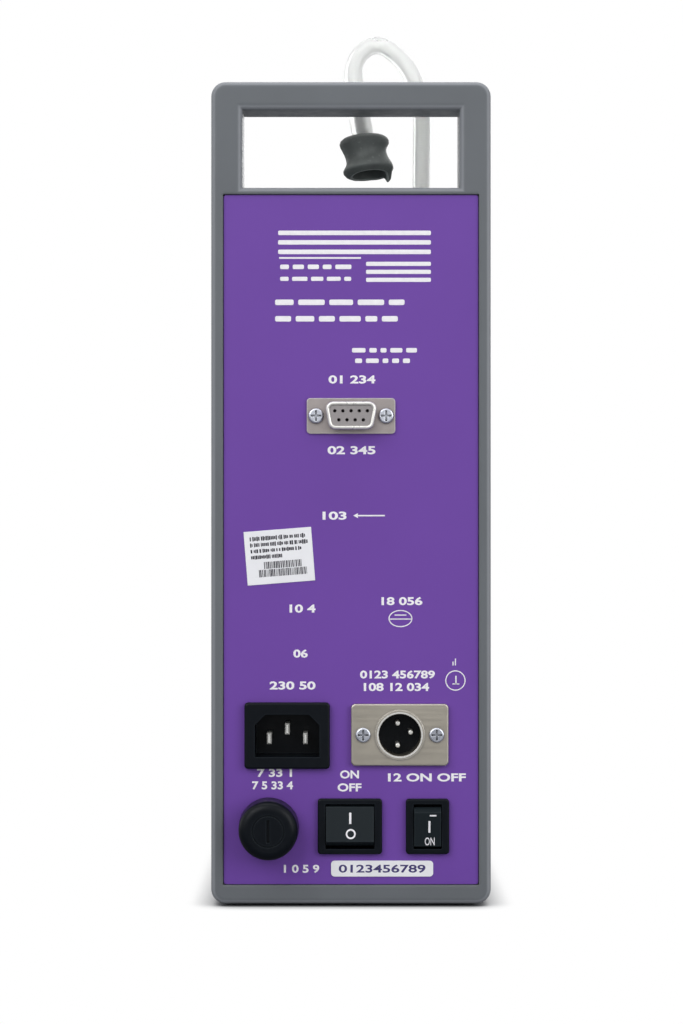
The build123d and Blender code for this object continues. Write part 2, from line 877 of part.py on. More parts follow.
def pan_head_screws(places, head_radius, head_height, length):
    """Pan-head screws with a cross recess, heads outwards at the given places."""
    with BuildPart() as screws:
        with Locations(*places):
            Cylinder(head_radius, head_height, align=(Align.CENTER, Align.CENTER, Align.MIN))
            Cylinder(pan_screw_radius, length, align=(Align.CENTER, Align.CENTER, Align.MAX))
        fillet(screws.edges().group_by(Axis.Y)[0], pan_head_round)
        with Locations(*[place * Location((0, 0, head_height)) for place in places]):
            for turn in (0, 90):
                Box(
                    2 * head_radius * screw_slot_share,
                    screw_slot_width,
                    screw_slot_depth,
                    rotation=(0, 0, turn),
                    align=(Align.CENTER, Align.CENTER, Align.MAX),
                    mode=Mode.SUBTRACT,
                )
    return screws


# Screws of the low-voltage socket
panel_screws = pan_head_screws(
    [looking(to_rear, x, socket_face_y, z) for x, z in socket_screw_places],
    pan_head_radius,
    pan_head_height,
    pan_screw_length,
)
panel_screws.part.label = "panel_screws"
export_step(panel_screws.part, "parts/panel_screws.step")

# Serial socket shell: a plated flange with a stepped, D-shaped shell
serial_face_y = rear_face_y - serial_flange_thickness
serial_rim_y = serial_face_y - serial_shell_proud
with BuildPart() as serial_shell:
    with BuildSketch(face_at(rear_face_y)):
        with Locations((serial_x, serial_z)):
            RectangleRounded(serial_flange_width, serial_flange_height, serial_flange_corner)
    extrude(amount=serial_flange_thickness)
    with BuildSketch(face_at(serial_face_y)) as serial_step:
        with Locations((serial_x, serial_z)):
            Trapezoid(serial_step_width, serial_step_height, serial_side_angle, rotation=180)
        fillet(serial_step.vertices(), serial_shell_corner)
    extrude(amount=serial_step_proud)
    with BuildSketch(face_at(serial_face_y)) as serial_wall:
        with Locations((serial_x, serial_z)):
            Trapezoid(serial_shell_width, serial_shell_height, serial_side_angle, rotation=180)
        fillet(serial_wall.vertices(), serial_shell_corner)
    extrude(amount=serial_shell_proud)
    with BuildSketch(face_at(serial_rim_y)) as serial_mouth:
        with Locations((serial_x, serial_z)):
            Trapezoid(
                serial_shell_width - 2 * serial_shell_wall,
                serial_shell_height - 2 * serial_shell_wall,
                serial_side_angle,
                rotation=180,
            )
        fillet(serial_mouth.vertices(), serial_shell_corner - serial_shell_wall)
    extrude(amount=serial_rim_y - rear_face_y, mode=Mode.SUBTRACT)
    with Locations(*[looking(to_rear, x, serial_face_y, z) for x, z in serial_screw_places]):
        Hole(pan_screw_radius + shaft_clearance)
serial_shell.part.label = "serial_shell"
export_step(serial_shell.part, "parts/serial_shell.step")

# Serial socket insert: the moulding with two rows of contact holes, and its block inside
serial_contact_places = [
    (serial_x + (index - (count - 1) / 2) * serial_contact_pitch, serial_z + row)
    for count, row in ((5, serial_row_spacing / 2), (4, -serial_row_spacing / 2))
    for index in range(count)
]
serial_insert_y = serial_rim_y + serial_insert_sink
with BuildPart() as serial_insert:
    with BuildSketch(face_at(serial_insert_y)) as serial_face:
        with Locations((serial_x, serial_z)):
            Trapezoid(
                serial_shell_width - 2 * serial_shell_wall - 2 * serial_insert_gap,
                serial_shell_height - 2 * serial_shell_wall - 2 * serial_insert_gap,
                serial_side_angle,
                rotation=180,
            )
        fillet(serial_face.vertices(), serial_shell_corner - serial_shell_wall)
    extrude(amount=serial_insert_y - rear_face_y)
    with BuildSketch(face_at(rear_face_y)):
        with Locations((serial_x, serial_z)):
            Rectangle(serial_back_width, serial_back_height)
    extrude(amount=-serial_back_depth)
    with BuildSketch(face_at(serial_insert_y)):
        with Locations(*serial_contact_places):
            Circle(serial_contact_radius)
    extrude(amount=-serial_contact_depth, mode=Mode.SUBTRACT)
serial_insert.part.label = "serial_insert"
export_step(serial_insert.part, "parts/serial_insert.step")

# Screws of the serial socket
serial_screws = pan_head_screws(
    [looking(to_rear, x, serial_face_y, z) for x, z in serial_screw_places],
    serial_screw_head_radius,
    serial_screw_head_height,
    pan_screw_length,
)
serial_screws.part.label = "serial_screws"
export_step(serial_screws.part, "parts/serial_screws.step")

# Fuse holder body: neck and flange outside the panel, barrel inside
fuse_tip_y = rear_face_y - fuse_cap_proud
fuse_neck_y = rear_face_y - fuse_neck_length
fuse_link_front_y = fuse_neck_y - moving_gap
fuse_link_tip_y = fuse_link_front_y - fuse_socket_depth + shaft_clearance
fuse_link_back_y = fuse_link_tip_y + fuse_link_length
with BuildPart() as fuse_holder_body:
    with Locations(looking(to_rear, fuse_x, rear_face_y, fuse_z)):
        Cylinder(fuse_flange_radius, fuse_flange_thickness, align=(Align.CENTER, Align.CENTER, Align.MIN))
        Cylinder(fuse_neck_radius, fuse_neck_length, align=(Align.CENTER, Align.CENTER, Align.MIN))
        Cylinder(fuse_barrel_radius, fuse_barrel_length, align=(Align.CENTER, Align.CENTER, Align.MAX))
    with Locations(looking(to_rear, fuse_x, fuse_neck_y, fuse_z)):
        Hole(fuse_link_radius + fuse_bore_gap, depth=fuse_link_back_y - fuse_neck_y + shaft_clearance)
fuse_holder_body.part.label = "fuse_holder_body"
export_step(fuse_holder_body.part, "parts/fuse_holder_body.step")

# Fuse holder nut, inside the panel
with BuildPart() as fuse_nut:
    with BuildSketch(face_at(rear_inner_y)):
        with Locations((fuse_x, fuse_z)):
            RegularPolygon(fuse_nut_width / 2, 6, major_radius=False)
            Circle(fuse_barrel_radius + shaft_clearance, mode=Mode.SUBTRACT)
    extrude(amount=-fuse_nut_thickness)
fuse_nut.part.label = "fuse_nut"
export_step(fuse_nut.part, "parts/fuse_nut.step")

# Fuse cap: a smooth drafted cap with a rounded shoulder, a ring groove and a coin slot
fuse_cap_seat_y = rear_face_y - fuse_flange_thickness - fuse_cap_seat_gap
fuse_cap_bore_depth = fuse_cap_seat_y - fuse_neck_y + moving_gap
with BuildPart() as fuse_cap:
    with BuildSketch(Plane.YZ.offset(fuse_x)):
        with BuildLine():
            Polyline(
                (fuse_cap_seat_y, fuse_z),
                (fuse_cap_seat_y, fuse_z + fuse_cap_radius),
                (fuse_tip_y, fuse_z + fuse_cap_radius - fuse_cap_draft),
                (fuse_tip_y, fuse_z),
                close=True,
            )
        make_face()
    revolve(axis=Axis((fuse_x, 0, fuse_z), to_front))
    fillet(fuse_cap.edges().group_by(Axis.Y)[0], fuse_cap_round)
    with Locations(looking(to_front, fuse_x, fuse_cap_seat_y, fuse_z)):
        Hole(fuse_neck_radius + moving_gap, depth=fuse_cap_bore_depth)
        Hole(fuse_link_radius + shaft_clearance, depth=fuse_cap_bore_depth + fuse_socket_depth)
    with Locations(looking(to_rear, fuse_x, fuse_tip_y, fuse_z)):
        Box(
            coin_slot_length,
            coin_slot_width,
            coin_slot_depth,
            align=(Align.CENTER, Align.CENTER, Align.MAX),
            mode=Mode.SUBTRACT,
        )
    with BuildSketch(face_at(fuse_tip_y)):
        with Locations((fuse_x, fuse_z)):
            Circle(cap_ring_radius)
            Circle(cap_ring_radius - cap_ring_width, mode=Mode.SUBTRACT)
    extrude(amount=-cap_ring_depth, mode=Mode.SUBTRACT)
fuse_cap.part.label = "fuse_cap"
export_step(fuse_cap.part, "parts/fuse_cap.step")

# Fuse link: the cartridge that the cap draws out
with BuildPart() as fuse_link:
    with BuildSketch(face_at(fuse_link_tip_y)):
        with Locations((fuse_x, fuse_z)):
            Circle(fuse_link_radius)
    extrude(amount=fuse_link_tip_y - fuse_link_back_y)
fuse_link.part.label = "fuse_link"
export_step(fuse_link.part, "parts/fuse_link.step")

# Rocker switches: a bezel and body with a pocket, and a rocker on two stub pins
rocker_face_y = rear_face_y - rocker_bezel_proud
rocker_pivot_y = rocker_face_y + rocker_pivot_depth
rocker_outline = [
    (-rocker_face_half, rocker_face_height),
    (rocker_face_half, rocker_face_height),
    (rocker_end_half, rocker_end_height),
    (rocker_foot_half, -rocker_foot_depth),
    (rocker_keel_half, -rocker_keel_depth),
    (-rocker_keel_half, -rocker_keel_depth),
    (-rocker_foot_half, -rocker_foot_depth),
    (-rocker_end_half, rocker_end_height),
]

for switch_name, rocker_name, switch_x, bezel_width, bezel_height, opening_width, tilt in (
    ("power_switch_body", "power_rocker", power_switch_x, power_bezel_width, power_bezel_height,
     power_opening_width, rocker_tilt),
    ("dc_switch_body", "dc_rocker", dc_switch_x, dc_bezel_width, dc_bezel_height,
     dc_opening_width, -rocker_tilt),
):
    rocker_width = opening_width - 2 * rocker_side_gap
    with BuildPart() as switch_body:
        with BuildSketch(face_at(rear_face_y)):
            with Locations((switch_x, switch_z)):
                RectangleRounded(bezel_width, bezel_height, rocker_bezel_corner)
        extrude(amount=rocker_bezel_proud)
        fillet(switch_body.faces().sort_by(Axis.Y)[0].edges(), rocker_bezel_round)
        with BuildSketch(face_at(rear_face_y)):
            with Locations((switch_x, switch_z)):
                Rectangle(opening_width + 2 * rocker_wall, rocker_body_height)
        extrude(amount=-rocker_body_depth)
        with BuildSketch(face_at(rocker_face_y)):
            with Locations((switch_x, switch_z)):
                Rectangle(opening_width, rocker_opening_height)
        extrude(amount=-rocker_pocket_depth, mode=Mode.SUBTRACT)
        with BuildSketch(Plane.YZ.offset(switch_x)):
            with Locations((rocker_pivot_y, switch_z)):
                Circle(rocker_pivot_radius + shaft_clearance)
        extrude(
            amount=opening_width / 2 + rocker_pivot_reach,
            both=True,
            mode=Mode.SUBTRACT,
        )
    switch_body.part.label = switch_name
    export_step(switch_body.part, f"parts/{switch_name}.step")

    # The profile's first axis runs up the panel and its second out of it, tilted about the pivot
    rocker_plane = Plane(
        origin=(switch_x, rocker_pivot_y, switch_z),
        x_dir=(0, sin(radians(tilt)), cos(radians(tilt))),
        z_dir=to_right,
    )
    with BuildPart() as rocker:
        with BuildSketch(rocker_plane):
            with BuildLine():
                Polyline(*rocker_outline, close=True)
            make_face()
        extrude(amount=rocker_width / 2, both=True)
        with BuildSketch(rocker_plane):
            Circle(rocker_pivot_radius)
        extrude(amount=opening_width / 2 + rocker_pivot_reach - shaft_clearance, both=True)
    rocker.part.label = rocker_name
    export_step(rocker.part, f"parts/{rocker_name}.step")

# Rear terminals: the tabs at the back of both switches
terminal_y = rear_face_y + rocker_body_depth
with BuildPart() as rear_terminals:
    with BuildSketch(face_at(terminal_y)):
        for switch_x, spacing in ((power_switch_x, terminal_spacing), (dc_switch_x, 0)):
            for across in {-spacing / 2, spacing / 2}:
                for up in (-1, 1):
                    with Locations((switch_x + across, switch_z + up * terminal_spacing / 2)):
                        Rectangle(terminal_width, terminal_thickness)
    extrude(amount=-terminal_length)
rear_terminals.part.label = "rear_terminals"
export_step(rear_terminals.part, "parts/rear_terminals.step")

# Inspection sticker, stuck on a little askew
with BuildPart() as label_sticker:
    with BuildSketch(face_at(rear_face_y)):
        with Locations((sticker_x, sticker_z)):
            Rectangle(sticker_width, sticker_height, rotation=sticker_turn)
    extrude(amount=sticker_thickness)
label_sticker.part.label = "label_sticker"
export_step(label_sticker.part, "parts/label_sticker.step")

# Number plate near the foot of the panel
with BuildPart() as number_plate:
    with BuildSketch(face_at(rear_face_y)):
        with Locations((plate_x, plate_z)):
            RectangleRounded(plate_width, plate_height, plate_corner)
    extrude(amount=plate_thickness)
number_plate.part.label = "number_plate"
export_step(number_plate.part, "parts/number_plate.step")

# Hose grommet: a stepped rubber ring in the deck
deck_under = body_top - sheet
with BuildPart() as hose_grommet:
    with BuildSketch(Plane.XY.offset(body_top)):
        with Locations((hose_x, hose_y)):
            Circle(grommet_flange_radius)
    extrude(amount=grommet_flange_height)
    fillet(hose_grommet.edges().group_by(Axis.Z)[-1], grommet_flange_height / 2)
    with BuildSketch(Plane.XY.offset(body_top)):
        with Locations((hose_x, hose_y)):
            Circle(grommet_collar_radius)
    extrude(amount=grommet_collar_height)
    with BuildSketch(Plane.XY.offset(body_top)):
        with Locations((hose_x, hose_y)):
            Circle(grommet_neck_radius)
    extrude(amount=-(sheet + grommet_lip_height))
    with BuildSketch(Plane.XY.offset(deck_under)):
        with Locations((hose_x, hose_y)):
            Circle(grommet_flange_radius)
    extrude(amount=-grommet_lip_height)
    with Locations((hose_x, hose_y, body_top + grommet_collar_height)):
        Hole(hose_diameter / 2 + pipe_clearance)
hose_grommet.part.label = "hose_grommet"
export_step(hose_grommet.part, "parts/hose_grommet.step")

# Rinse hose: up behind the handle, over in a narrow loop and down again to the adaptor

def route_radii(points):
    """Largest tangent arc at each corner of a route, from its shorter run and its turn."""
    vectors = [Vector(*point) for point in points]
    radii = []
    for before, corner, after in zip(vectors, vectors[1:], vectors[2:]):
        turn = (corner - before).get_angle(after - corner)
        shorter = min((corner - before).length, (after - corner).length)
        radii.append(shorter * route_bend_share / tan(radians(turn / 2)))
    return radii


def tube_along(points, outer_radius, bore_radius):
    """A tube of even section along straight runs joined by tangent arcs."""
    radii = route_radii(points)
    with BuildPart() as tube:
        with BuildLine() as path:
            FilletPolyline(*points, radius=radii)
        start = Plane(origin=points[0], z_dir=Vector(*points[1]) - Vector(*points[0]))
        with BuildSketch(start):
            Circle(outer_radius)
            Circle(bore_radius, mode=Mode.SUBTRACT)
        sweep(path=path.wire())
    return tube, path.wire().length, radii

# Rinse hose
milk_hose, hose_length, hose_radii = tube_along(hose_route, hose_diameter / 2, hose_bore_radius)
milk_hose.part.label = "milk_hose"
export_step(milk_hose.part, "parts/milk_hose.step")

# Hose adaptor: a waisted rubber bobbin in line with the hose's end, with a socket for the hose
# and an open mouth below
hose_end = Vector(*hose_route[-1])
adaptor_up = (Vector(*hose_route[-2]) - hose_end).normalized()
adaptor_across = Vector(adaptor_up.Z, 0, -adaptor_up.X).normalized()
adaptor_plane = Plane(origin=hose_end, x_dir=adaptor_across, z_dir=adaptor_across.cross(adaptor_up))
adaptor_top = adaptor_socket_depth
adaptor_bottom = adaptor_top - adaptor_length
adaptor_ceiling = adaptor_bottom + adaptor_mouth_depth
adaptor_bore = hose_diameter / 2 + pipe_clearance
with BuildPart() as hose_adaptor:
    with BuildSketch(adaptor_plane):
        with BuildLine():
            Spline(
                (adaptor_shoulder_radius, adaptor_top),
                (adaptor_upper_rim_radius, adaptor_top - adaptor_upper_rim_drop),
                (adaptor_waist_radius, adaptor_top - adaptor_waist_drop),
                (adaptor_lower_rim_radius, adaptor_top - adaptor_lower_rim_drop),
                (adaptor_mouth_edge_radius, adaptor_bottom),
                tangents=[(1, -adaptor_top_slope), (-1, -adaptor_foot_slope)],
            )
            Polyline(
                (adaptor_mouth_edge_radius, adaptor_bottom),
                (adaptor_mouth_radius, adaptor_bottom),
                (adaptor_mouth_radius, adaptor_ceiling),
                (adaptor_channel_radius, adaptor_ceiling),
                (adaptor_channel_radius, 0),
                (adaptor_bore, 0),
                (adaptor_bore, adaptor_top),
                (adaptor_shoulder_radius, adaptor_top),
            )
        make_face()
    revolve(axis=Axis(hose_end, adaptor_up))
hose_adaptor.part.label = "hose_adaptor"
export_step(hose_adaptor.part, "parts/hose_adaptor.step")

# Front panel: display cut-out, key holes, bay opening and four bosses for the display board
front_keys = [
    ((index - (key_count - 1) / 2) * key_spacing, key_z) for index in range(key_count)
]
boss_places = [
    (
        across * (display_board_width / 2 - boss_inset),
        display_board_z + up * (display_board_height / 2 - boss_inset),
    )
    for across in (-1, 1)
    for up in (-1, 1)
]
bay_centre_z = bay_floor_z + bay_height / 2
with BuildPart() as front_panel:
    with BuildSketch(face_at(front_face_y)):
        with Locations((0, front_panel_centre_z)):
            RectangleRounded(panel_width, front_panel_height, panel_corner_radius)
        with Locations((0, window_z)):
            Rectangle(
                window_width + 2 * cutout_gap,
                window_height + 2 * cutout_gap,
                mode=Mode.SUBTRACT,
            )
        with Locations(*front_keys):
            Circle(key_radius + key_hole_gap, mode=Mode.SUBTRACT)
        with Locations((0, bay_centre_z)):
            RectangleRounded(bay_width, bay_height, bay_corner_radius, mode=Mode.SUBTRACT)
    extrude(amount=panel_thickness)
    with BuildSketch(face_at(front_inner_y)):
        with Locations(*boss_places):
            Circle(boss_radius)
    extrude(amount=lcd_depth)
front_panel.part.label = "front_panel"
export_step(front_panel.part, "parts/front_panel.step")

# Display window: a clear plate flush with the panel
with BuildPart() as display_window:
    with BuildSketch(face_at(front_face_y)):
        with Locations((0, window_z)):
            Rectangle(window_width, window_height)
    extrude(amount=panel_thickness)
display_window.part.label = "display_window"
export_step(display_window.part, "parts/display_window.step")

# Display module on its board, just behind the window
with BuildPart() as lcd_module:
    with BuildSketch(face_at(front_inner_y - cover_gap)):
        with Locations((0, window_z)):
            Rectangle(window_width + 2 * lcd_border, lcd_height)
    extrude(amount=lcd_depth - cover_gap)
lcd_module.part.label = "lcd_module"
export_step(lcd_module.part, "parts/lcd_module.step")

# Display board with a push switch behind each key
board_front_y = front_inner_y - lcd_depth
with BuildPart() as display_board:
    with BuildSketch(face_at(board_front_y)):
        with Locations((0, display_board_z)):
            Rectangle(display_board_width, display_board_height)
    extrude(amount=board_thickness)
    with BuildSketch(face_at(board_front_y)):
        with Locations(*front_keys):
            Rectangle(tact_size, tact_size)
    extrude(amount=-tact_height)
display_board.part.label = "display_board"
export_step(display_board.part, "parts/display_board.step")

# Keys: dished caps with a flange behind the panel and a stem that reaches for the switch
key_flange_y = front_inner_y - moving_gap
key_stem_length = lcd_depth - tact_height - 2 * moving_gap - key_flange_thickness - key_travel
for index, (key_x, key_height) in enumerate(front_keys, start=1):
    with BuildPart() as key:
        with BuildSketch(face_at(key_flange_y)):
            with Locations((key_x, key_height)):
                Circle(key_radius)
        extrude(amount=key_flange_y - front_face_y - key_proud)
        fillet(key.faces().sort_by(Axis.Y)[-1].edges(), key_dish_depth)
        with BuildSketch(face_at(front_face_y + key_proud)):
            with Locations((key_x, key_height)):
                Circle(key_dish_radius)
        extrude(amount=key_dish_depth, taper=45, mode=Mode.SUBTRACT)
        with BuildSketch(face_at(key_flange_y)):
            with Locations((key_x, key_height)):
                Circle(key_flange_radius)
        extrude(amount=key_flange_thickness)
        with BuildSketch(face_at(key_flange_y - key_flange_thickness)):
            with Locations((key_x, key_height)):
                Circle(key_stem_radius)
        extrude(amount=key_stem_length)
    key.part.label = f"key_{index}"
    export_step(key.part, f"parts/key_{index}.step")

# Sample bay: an open tub behind the panel, with a ring that centres the cup
intake_y = front_inner_y - intake_from_panel
bay_back_y = front_inner_y - bay_depth - bay_wall
with BuildPart() as sample_bay:
    with BuildSketch(face_at(front_inner_y)):
        with Locations((0, bay_centre_z)):
            RectangleRounded(
                bay_width + 2 * bay_wall,
                bay_height + 2 * bay_wall,
                bay_corner_radius + bay_wall,
            )
    extrude(amount=bay_depth + bay_wall)
    with BuildSketch(face_at(front_inner_y)):
        with Locations((0, bay_centre_z)):
            RectangleRounded(
                bay_width + 2 * bay_wall + 2 * bay_lip_width,
                bay_height + 2 * bay_wall + 2 * bay_lip_width,
                bay_corner_radius + bay_wall,
            )
    extrude(amount=bay_lip_thickness)
    with BuildSketch(face_at(front_inner_y)):
        with Locations((0, bay_centre_z)):
            RectangleRounded(bay_width, bay_height, bay_corner_radius)
    extrude(amount=bay_depth, mode=Mode.SUBTRACT)
    with BuildSketch(Plane.XY.offset(bay_floor_z)):
        with Locations((0, intake_y)):
            Circle(cup_ring_radius - cup_ring_width)
            Circle(cup_ring_radius - 2 * cup_ring_width, mode=Mode.SUBTRACT)
    extrude(amount=cup_ring_height)
    with Locations((0, intake_y, bay_roof_z)):
        Hole(fitting_neck_radius + shaft_clearance, depth=2 * bay_wall)
sample_bay.part.label = "sample_bay"
export_step(sample_bay.part, "parts/sample_bay.step")

# Pipe fitting: a turned fitting clamped through the roof of the bay by its nut
fitting_top_z = bay_roof_z + fitting_nut_height
with BuildPart() as pipe_fitting:
    with BuildSketch(Plane.XY.offset(bay_top_z - fitting_flange_height)):
        with Locations((0, intake_y)):
            Circle(fitting_flange_radius)
    extrude(amount=fitting_flange_height)
    with BuildSketch(Plane.XY.offset(bay_top_z)):
        with Locations((0, intake_y)):
            Circle(fitting_neck_radius)
    extrude(amount=bay_wall)
    with BuildSketch(Plane.XY.offset(bay_roof_z)):
        with Locations((0, intake_y)):
            RegularPolygon(fitting_nut_width / 2, 6, major_radius=False)
    extrude(amount=fitting_nut_height)
    with BuildSketch(Plane.XY.offset(fitting_top_z)):
        with Locations((0, intake_y)):
            Circle(line_radius)
    extrude(amount=line_stub_length)
    with Locations((0, intake_y, fitting_top_z)):
        Hole(line_bore_radius)
    with BuildSketch(Plane.XY.offset(bay_top_z - fitting_flange_height)):
        with Locations((0, intake_y)):
            Circle(pipe_radius + pipe_clearance)
    extrude(amount=fitting_flange_height + bay_wall, mode=Mode.SUBTRACT)
pipe_fitting.part.label = "pipe_fitting"
export_step(pipe_fitting.part, "parts/pipe_fitting.step")

# Intake pipe: a stainless tube that hangs into the cup, with a bead that stops a pushed-on hose
pipe_tip_z = bay_floor_z + pipe_tip_above_floor
with BuildPart() as intake_pipe:
    with BuildSketch(Plane.XY.offset(bay_roof_z)):
        with Locations((0, intake_y)):
            Circle(pipe_radius)
            Circle(pipe_bore_radius, mode=Mode.SUBTRACT)
    extrude(amount=pipe_tip_z - bay_roof_z)
    with BuildSketch(Plane.XY.offset(pipe_tip_z + pipe_bead_above_tip)):
        with Locations((0, intake_y)):
            Circle(pipe_bead_radius)
            Circle(pipe_bore_radius, mode=Mode.SUBTRACT)
    extrude(amount=pipe_bead_height)
    bead_edges = intake_pipe.edges().filter_by(
        lambda edge: edge.geom_type == GeomType.CIRCLE and edge.radius > pipe_bead_radius - select_margin
    )
    fillet(bead_edges, pipe_bead_round)
intake_pipe.part.label = "intake_pipe"
export_step(intake_pipe.part, "parts/intake_pipe.step")

# Measuring cell: a metal block on the bracket, over the bay, with two sound transducers
bracket_front_y = bay_back_y
bracket_back_y = bracket_front_y - bracket_thickness
cell_centre_z = cell_low_z + cell_height / 2
cell_middle_y = bracket_front_y + cell_depth / 2
with BuildPart() as measuring_cell:
    with BuildSketch(face_at(bracket_front_y)):
        with Locations((cell_centre_x, cell_centre_z)):
            RectangleRounded(cell_width, cell_height, cell_edge_radius)
    extrude(amount=-cell_depth)
    with BuildSketch(Plane.XY.offset(cell_top_z)):
        with Locations((-tube_arc_radius, cell_middle_y)):
            Circle(line_radius)
    extrude(amount=line_stub_length)
    with BuildSketch(face_at(bracket_front_y + cell_depth)):
        with Locations((0, cell_centre_z)):
            Circle(line_radius)
    extrude(amount=-line_stub_length)
    with BuildSketch(Plane.YZ.offset(cell_centre_x)):
        with Locations((cell_middle_y, cell_centre_z)):
            Circle(transducer_radius + shaft_clearance)
    extrude(amount=cell_width / 2, both=True, mode=Mode.SUBTRACT)
    with BuildSketch(Plane.YZ.offset(cell_centre_x)):
        with Locations((cell_middle_y, cell_centre_z)):
            Circle(transducer_radius + shaft_clearance)
    extrude(amount=cell_width / 2 - transducer_length, both=True)
measuring_cell.part.label = "measuring_cell"
export_step(measuring_cell.part, "parts/measuring_cell.step")

with BuildPart() as cell_transducers:
    with Locations(
        *[
            looking(
                (side, 0, 0),
                cell_centre_x + side * cell_width / 2,
                cell_middle_y,
                cell_centre_z,
            )
            for side in (-1, 1)
        ]
    ):
        Cylinder(
            transducer_radius,
            transducer_length,
            align=(Align.CENTER, Align.CENTER, Align.MAX),
        )
cell_transducers.part.label = "cell_transducers"
export_step(cell_transducers.part, "parts/cell_transducers.step")

# Inner bracket: the bent plate behind the bay that carries the cell, the pump and its motor
outlet_route = [
    (tube_arc_radius, cell_middle_y, pump_z - pump_tube_tail),
    (tube_arc_radius, cell_middle_y, pump_z - pump_tube_tail - outlet_drop),
    *[
        (x, cell_middle_y + way_share * (hose_y - cell_middle_y), body_top - drop)
        for x, way_share, drop in outlet_corners
    ],
    hose_route[0],
]
hole_share = (outlet_route[1][1] - bracket_front_y) / (outlet_route[1][1] - outlet_route[2][1])
hole_x, hole_z = [
    outlet_route[1][axis] + hole_share * (outlet_route[2][axis] - outlet_route[1][axis])
    for axis in (0, 2)
]
with BuildPart() as inner_bracket:
    with BuildSketch(face_at(bracket_back_y)):
        with Locations((0, base_top)):
            Rectangle(
                bracket_width, bracket_top_z - base_top, align=(Align.CENTER, Align.MIN)
            )
        with Locations((0, pump_z)):
            Circle(rotor_shaft_radius + moving_gap, mode=Mode.SUBTRACT)
        with Locations((hole_x, hole_z)):
            Circle(bracket_hole_radius, mode=Mode.SUBTRACT)
    extrude(amount=-bracket_thickness)
    with BuildSketch(face_at(bracket_back_y)):
        with Locations((0, base_top)):
            Rectangle(bracket_width, bracket_thickness, align=(Align.CENTER, Align.MIN))
    extrude(amount=bracket_foot)
inner_bracket.part.label = "inner_bracket"
export_step(inner_bracket.part, "parts/inner_bracket.step")

# Pump body: an upside-down horseshoe that backs the tube
pump_middle_y = cell_middle_y
track_radius = tube_arc_radius + line_radius + tube_track_gap
pump_front_y = bracket_front_y + pump_depth
with BuildPart() as pump_body:
    with BuildSketch(face_at(bracket_front_y)):
        with Locations((0, pump_z)):
            Circle(pump_outer_radius)
            Rectangle(2 * pump_outer_radius, pump_leg_height, align=(Align.CENTER, Align.MAX))
    extrude(amount=-pump_depth)
    with BuildSketch(face_at(bracket_front_y + pump_back_wall)):
        with Locations((0, pump_z)):
            Circle(track_radius)
            Rectangle(2 * track_radius, pump_leg_height, align=(Align.CENTER, Align.MAX))
    extrude(amount=pump_back_wall - pump_depth, mode=Mode.SUBTRACT)
    with Locations(looking(to_front, 0, pump_front_y, pump_z)):
        Hole(rotor_shaft_radius + moving_gap)
pump_body.part.label = "pump_body"
export_step(pump_body.part, "parts/pump_body.step")

# Pump tube: up from the cell, over the rollers and down again
tube_start = (-tube_arc_radius, pump_middle_y, cell_top_z + line_stub_length)
tube_end = outlet_route[0]
with BuildPart() as pump_tube:
    with BuildLine() as pump_path:
        Line(tube_start, (-tube_arc_radius, pump_middle_y, pump_z))
        ThreePointArc(
            (-tube_arc_radius, pump_middle_y, pump_z),
            (0, pump_middle_y, pump_z + tube_arc_radius),
            (tube_arc_radius, pump_middle_y, pump_z),
        )
        Line((tube_arc_radius, pump_middle_y, pump_z), tube_end)
    with BuildSketch(Plane.XY.offset(tube_start[2])):
        with Locations(tube_start[:2]):
            Circle(line_radius)
            Circle(line_bore_radius, mode=Mode.SUBTRACT)
    sweep(path=pump_path.wire())
pump_tube.part.label = "pump_tube"
export_step(pump_tube.part, "parts/pump_tube.step")

# Pump rotor: two plates on the shaft, joined by the roller pins
roller_orbit = tube_arc_radius - line_radius - moving_gap - roller_radius
roller_places = [
    (
        roller_orbit * cos(radians(90 + index * 360 / roller_count)),
        pump_z + roller_orbit * sin(radians(90 + index * 360 / roller_count)),
    )
    for index in range(roller_count)
]
roller_back_y = pump_middle_y - roller_length / 2
rotor_back_y = roller_back_y - moving_gap - rotor_plate_thickness
rotor_length = roller_length + 2 * moving_gap + 2 * rotor_plate_thickness
shaft_back_y = bracket_back_y - rotor_shaft_reach
with BuildPart() as pump_rotor:
    with BuildSketch(face_at(rotor_back_y)):
        with Locations((0, pump_z)):
            Circle(rotor_plate_radius)
    extrude(amount=-rotor_length)
    with BuildSketch(face_at(rotor_back_y + rotor_plate_thickness)):
        with Locations((0, pump_z)):
            Circle(rotor_plate_radius + overrun)
            Circle(rotor_hub_radius, mode=Mode.SUBTRACT)
    extrude(amount=-(roller_length + 2 * moving_gap), mode=Mode.SUBTRACT)
    with BuildSketch(face_at(rotor_back_y)):
        with Locations(*roller_places):
            Circle(roller_pin_radius)
    extrude(amount=-rotor_length)
    with BuildSketch(face_at(shaft_back_y)):
        with Locations((0, pump_z)):
            Circle(rotor_shaft_radius)
    extrude(amount=shaft_back_y - rotor_back_y)
pump_rotor.part.label = "pump_rotor"
export_step(pump_rotor.part, "parts/pump_rotor.step")

# Pump rollers, one node each
for index, (roller_x, roller_z) in enumerate(roller_places, start=1):
    with BuildPart() as roller:
        with BuildSketch(face_at(roller_back_y)):
            with Locations((roller_x, roller_z)):
                Circle(roller_radius)
                Circle(roller_pin_radius + shaft_clearance, mode=Mode.SUBTRACT)
        extrude(amount=-roller_length)
    roller.part.label = f"pump_roller_{index}"
    export_step(roller.part, f"parts/pump_roller_{index}.step")

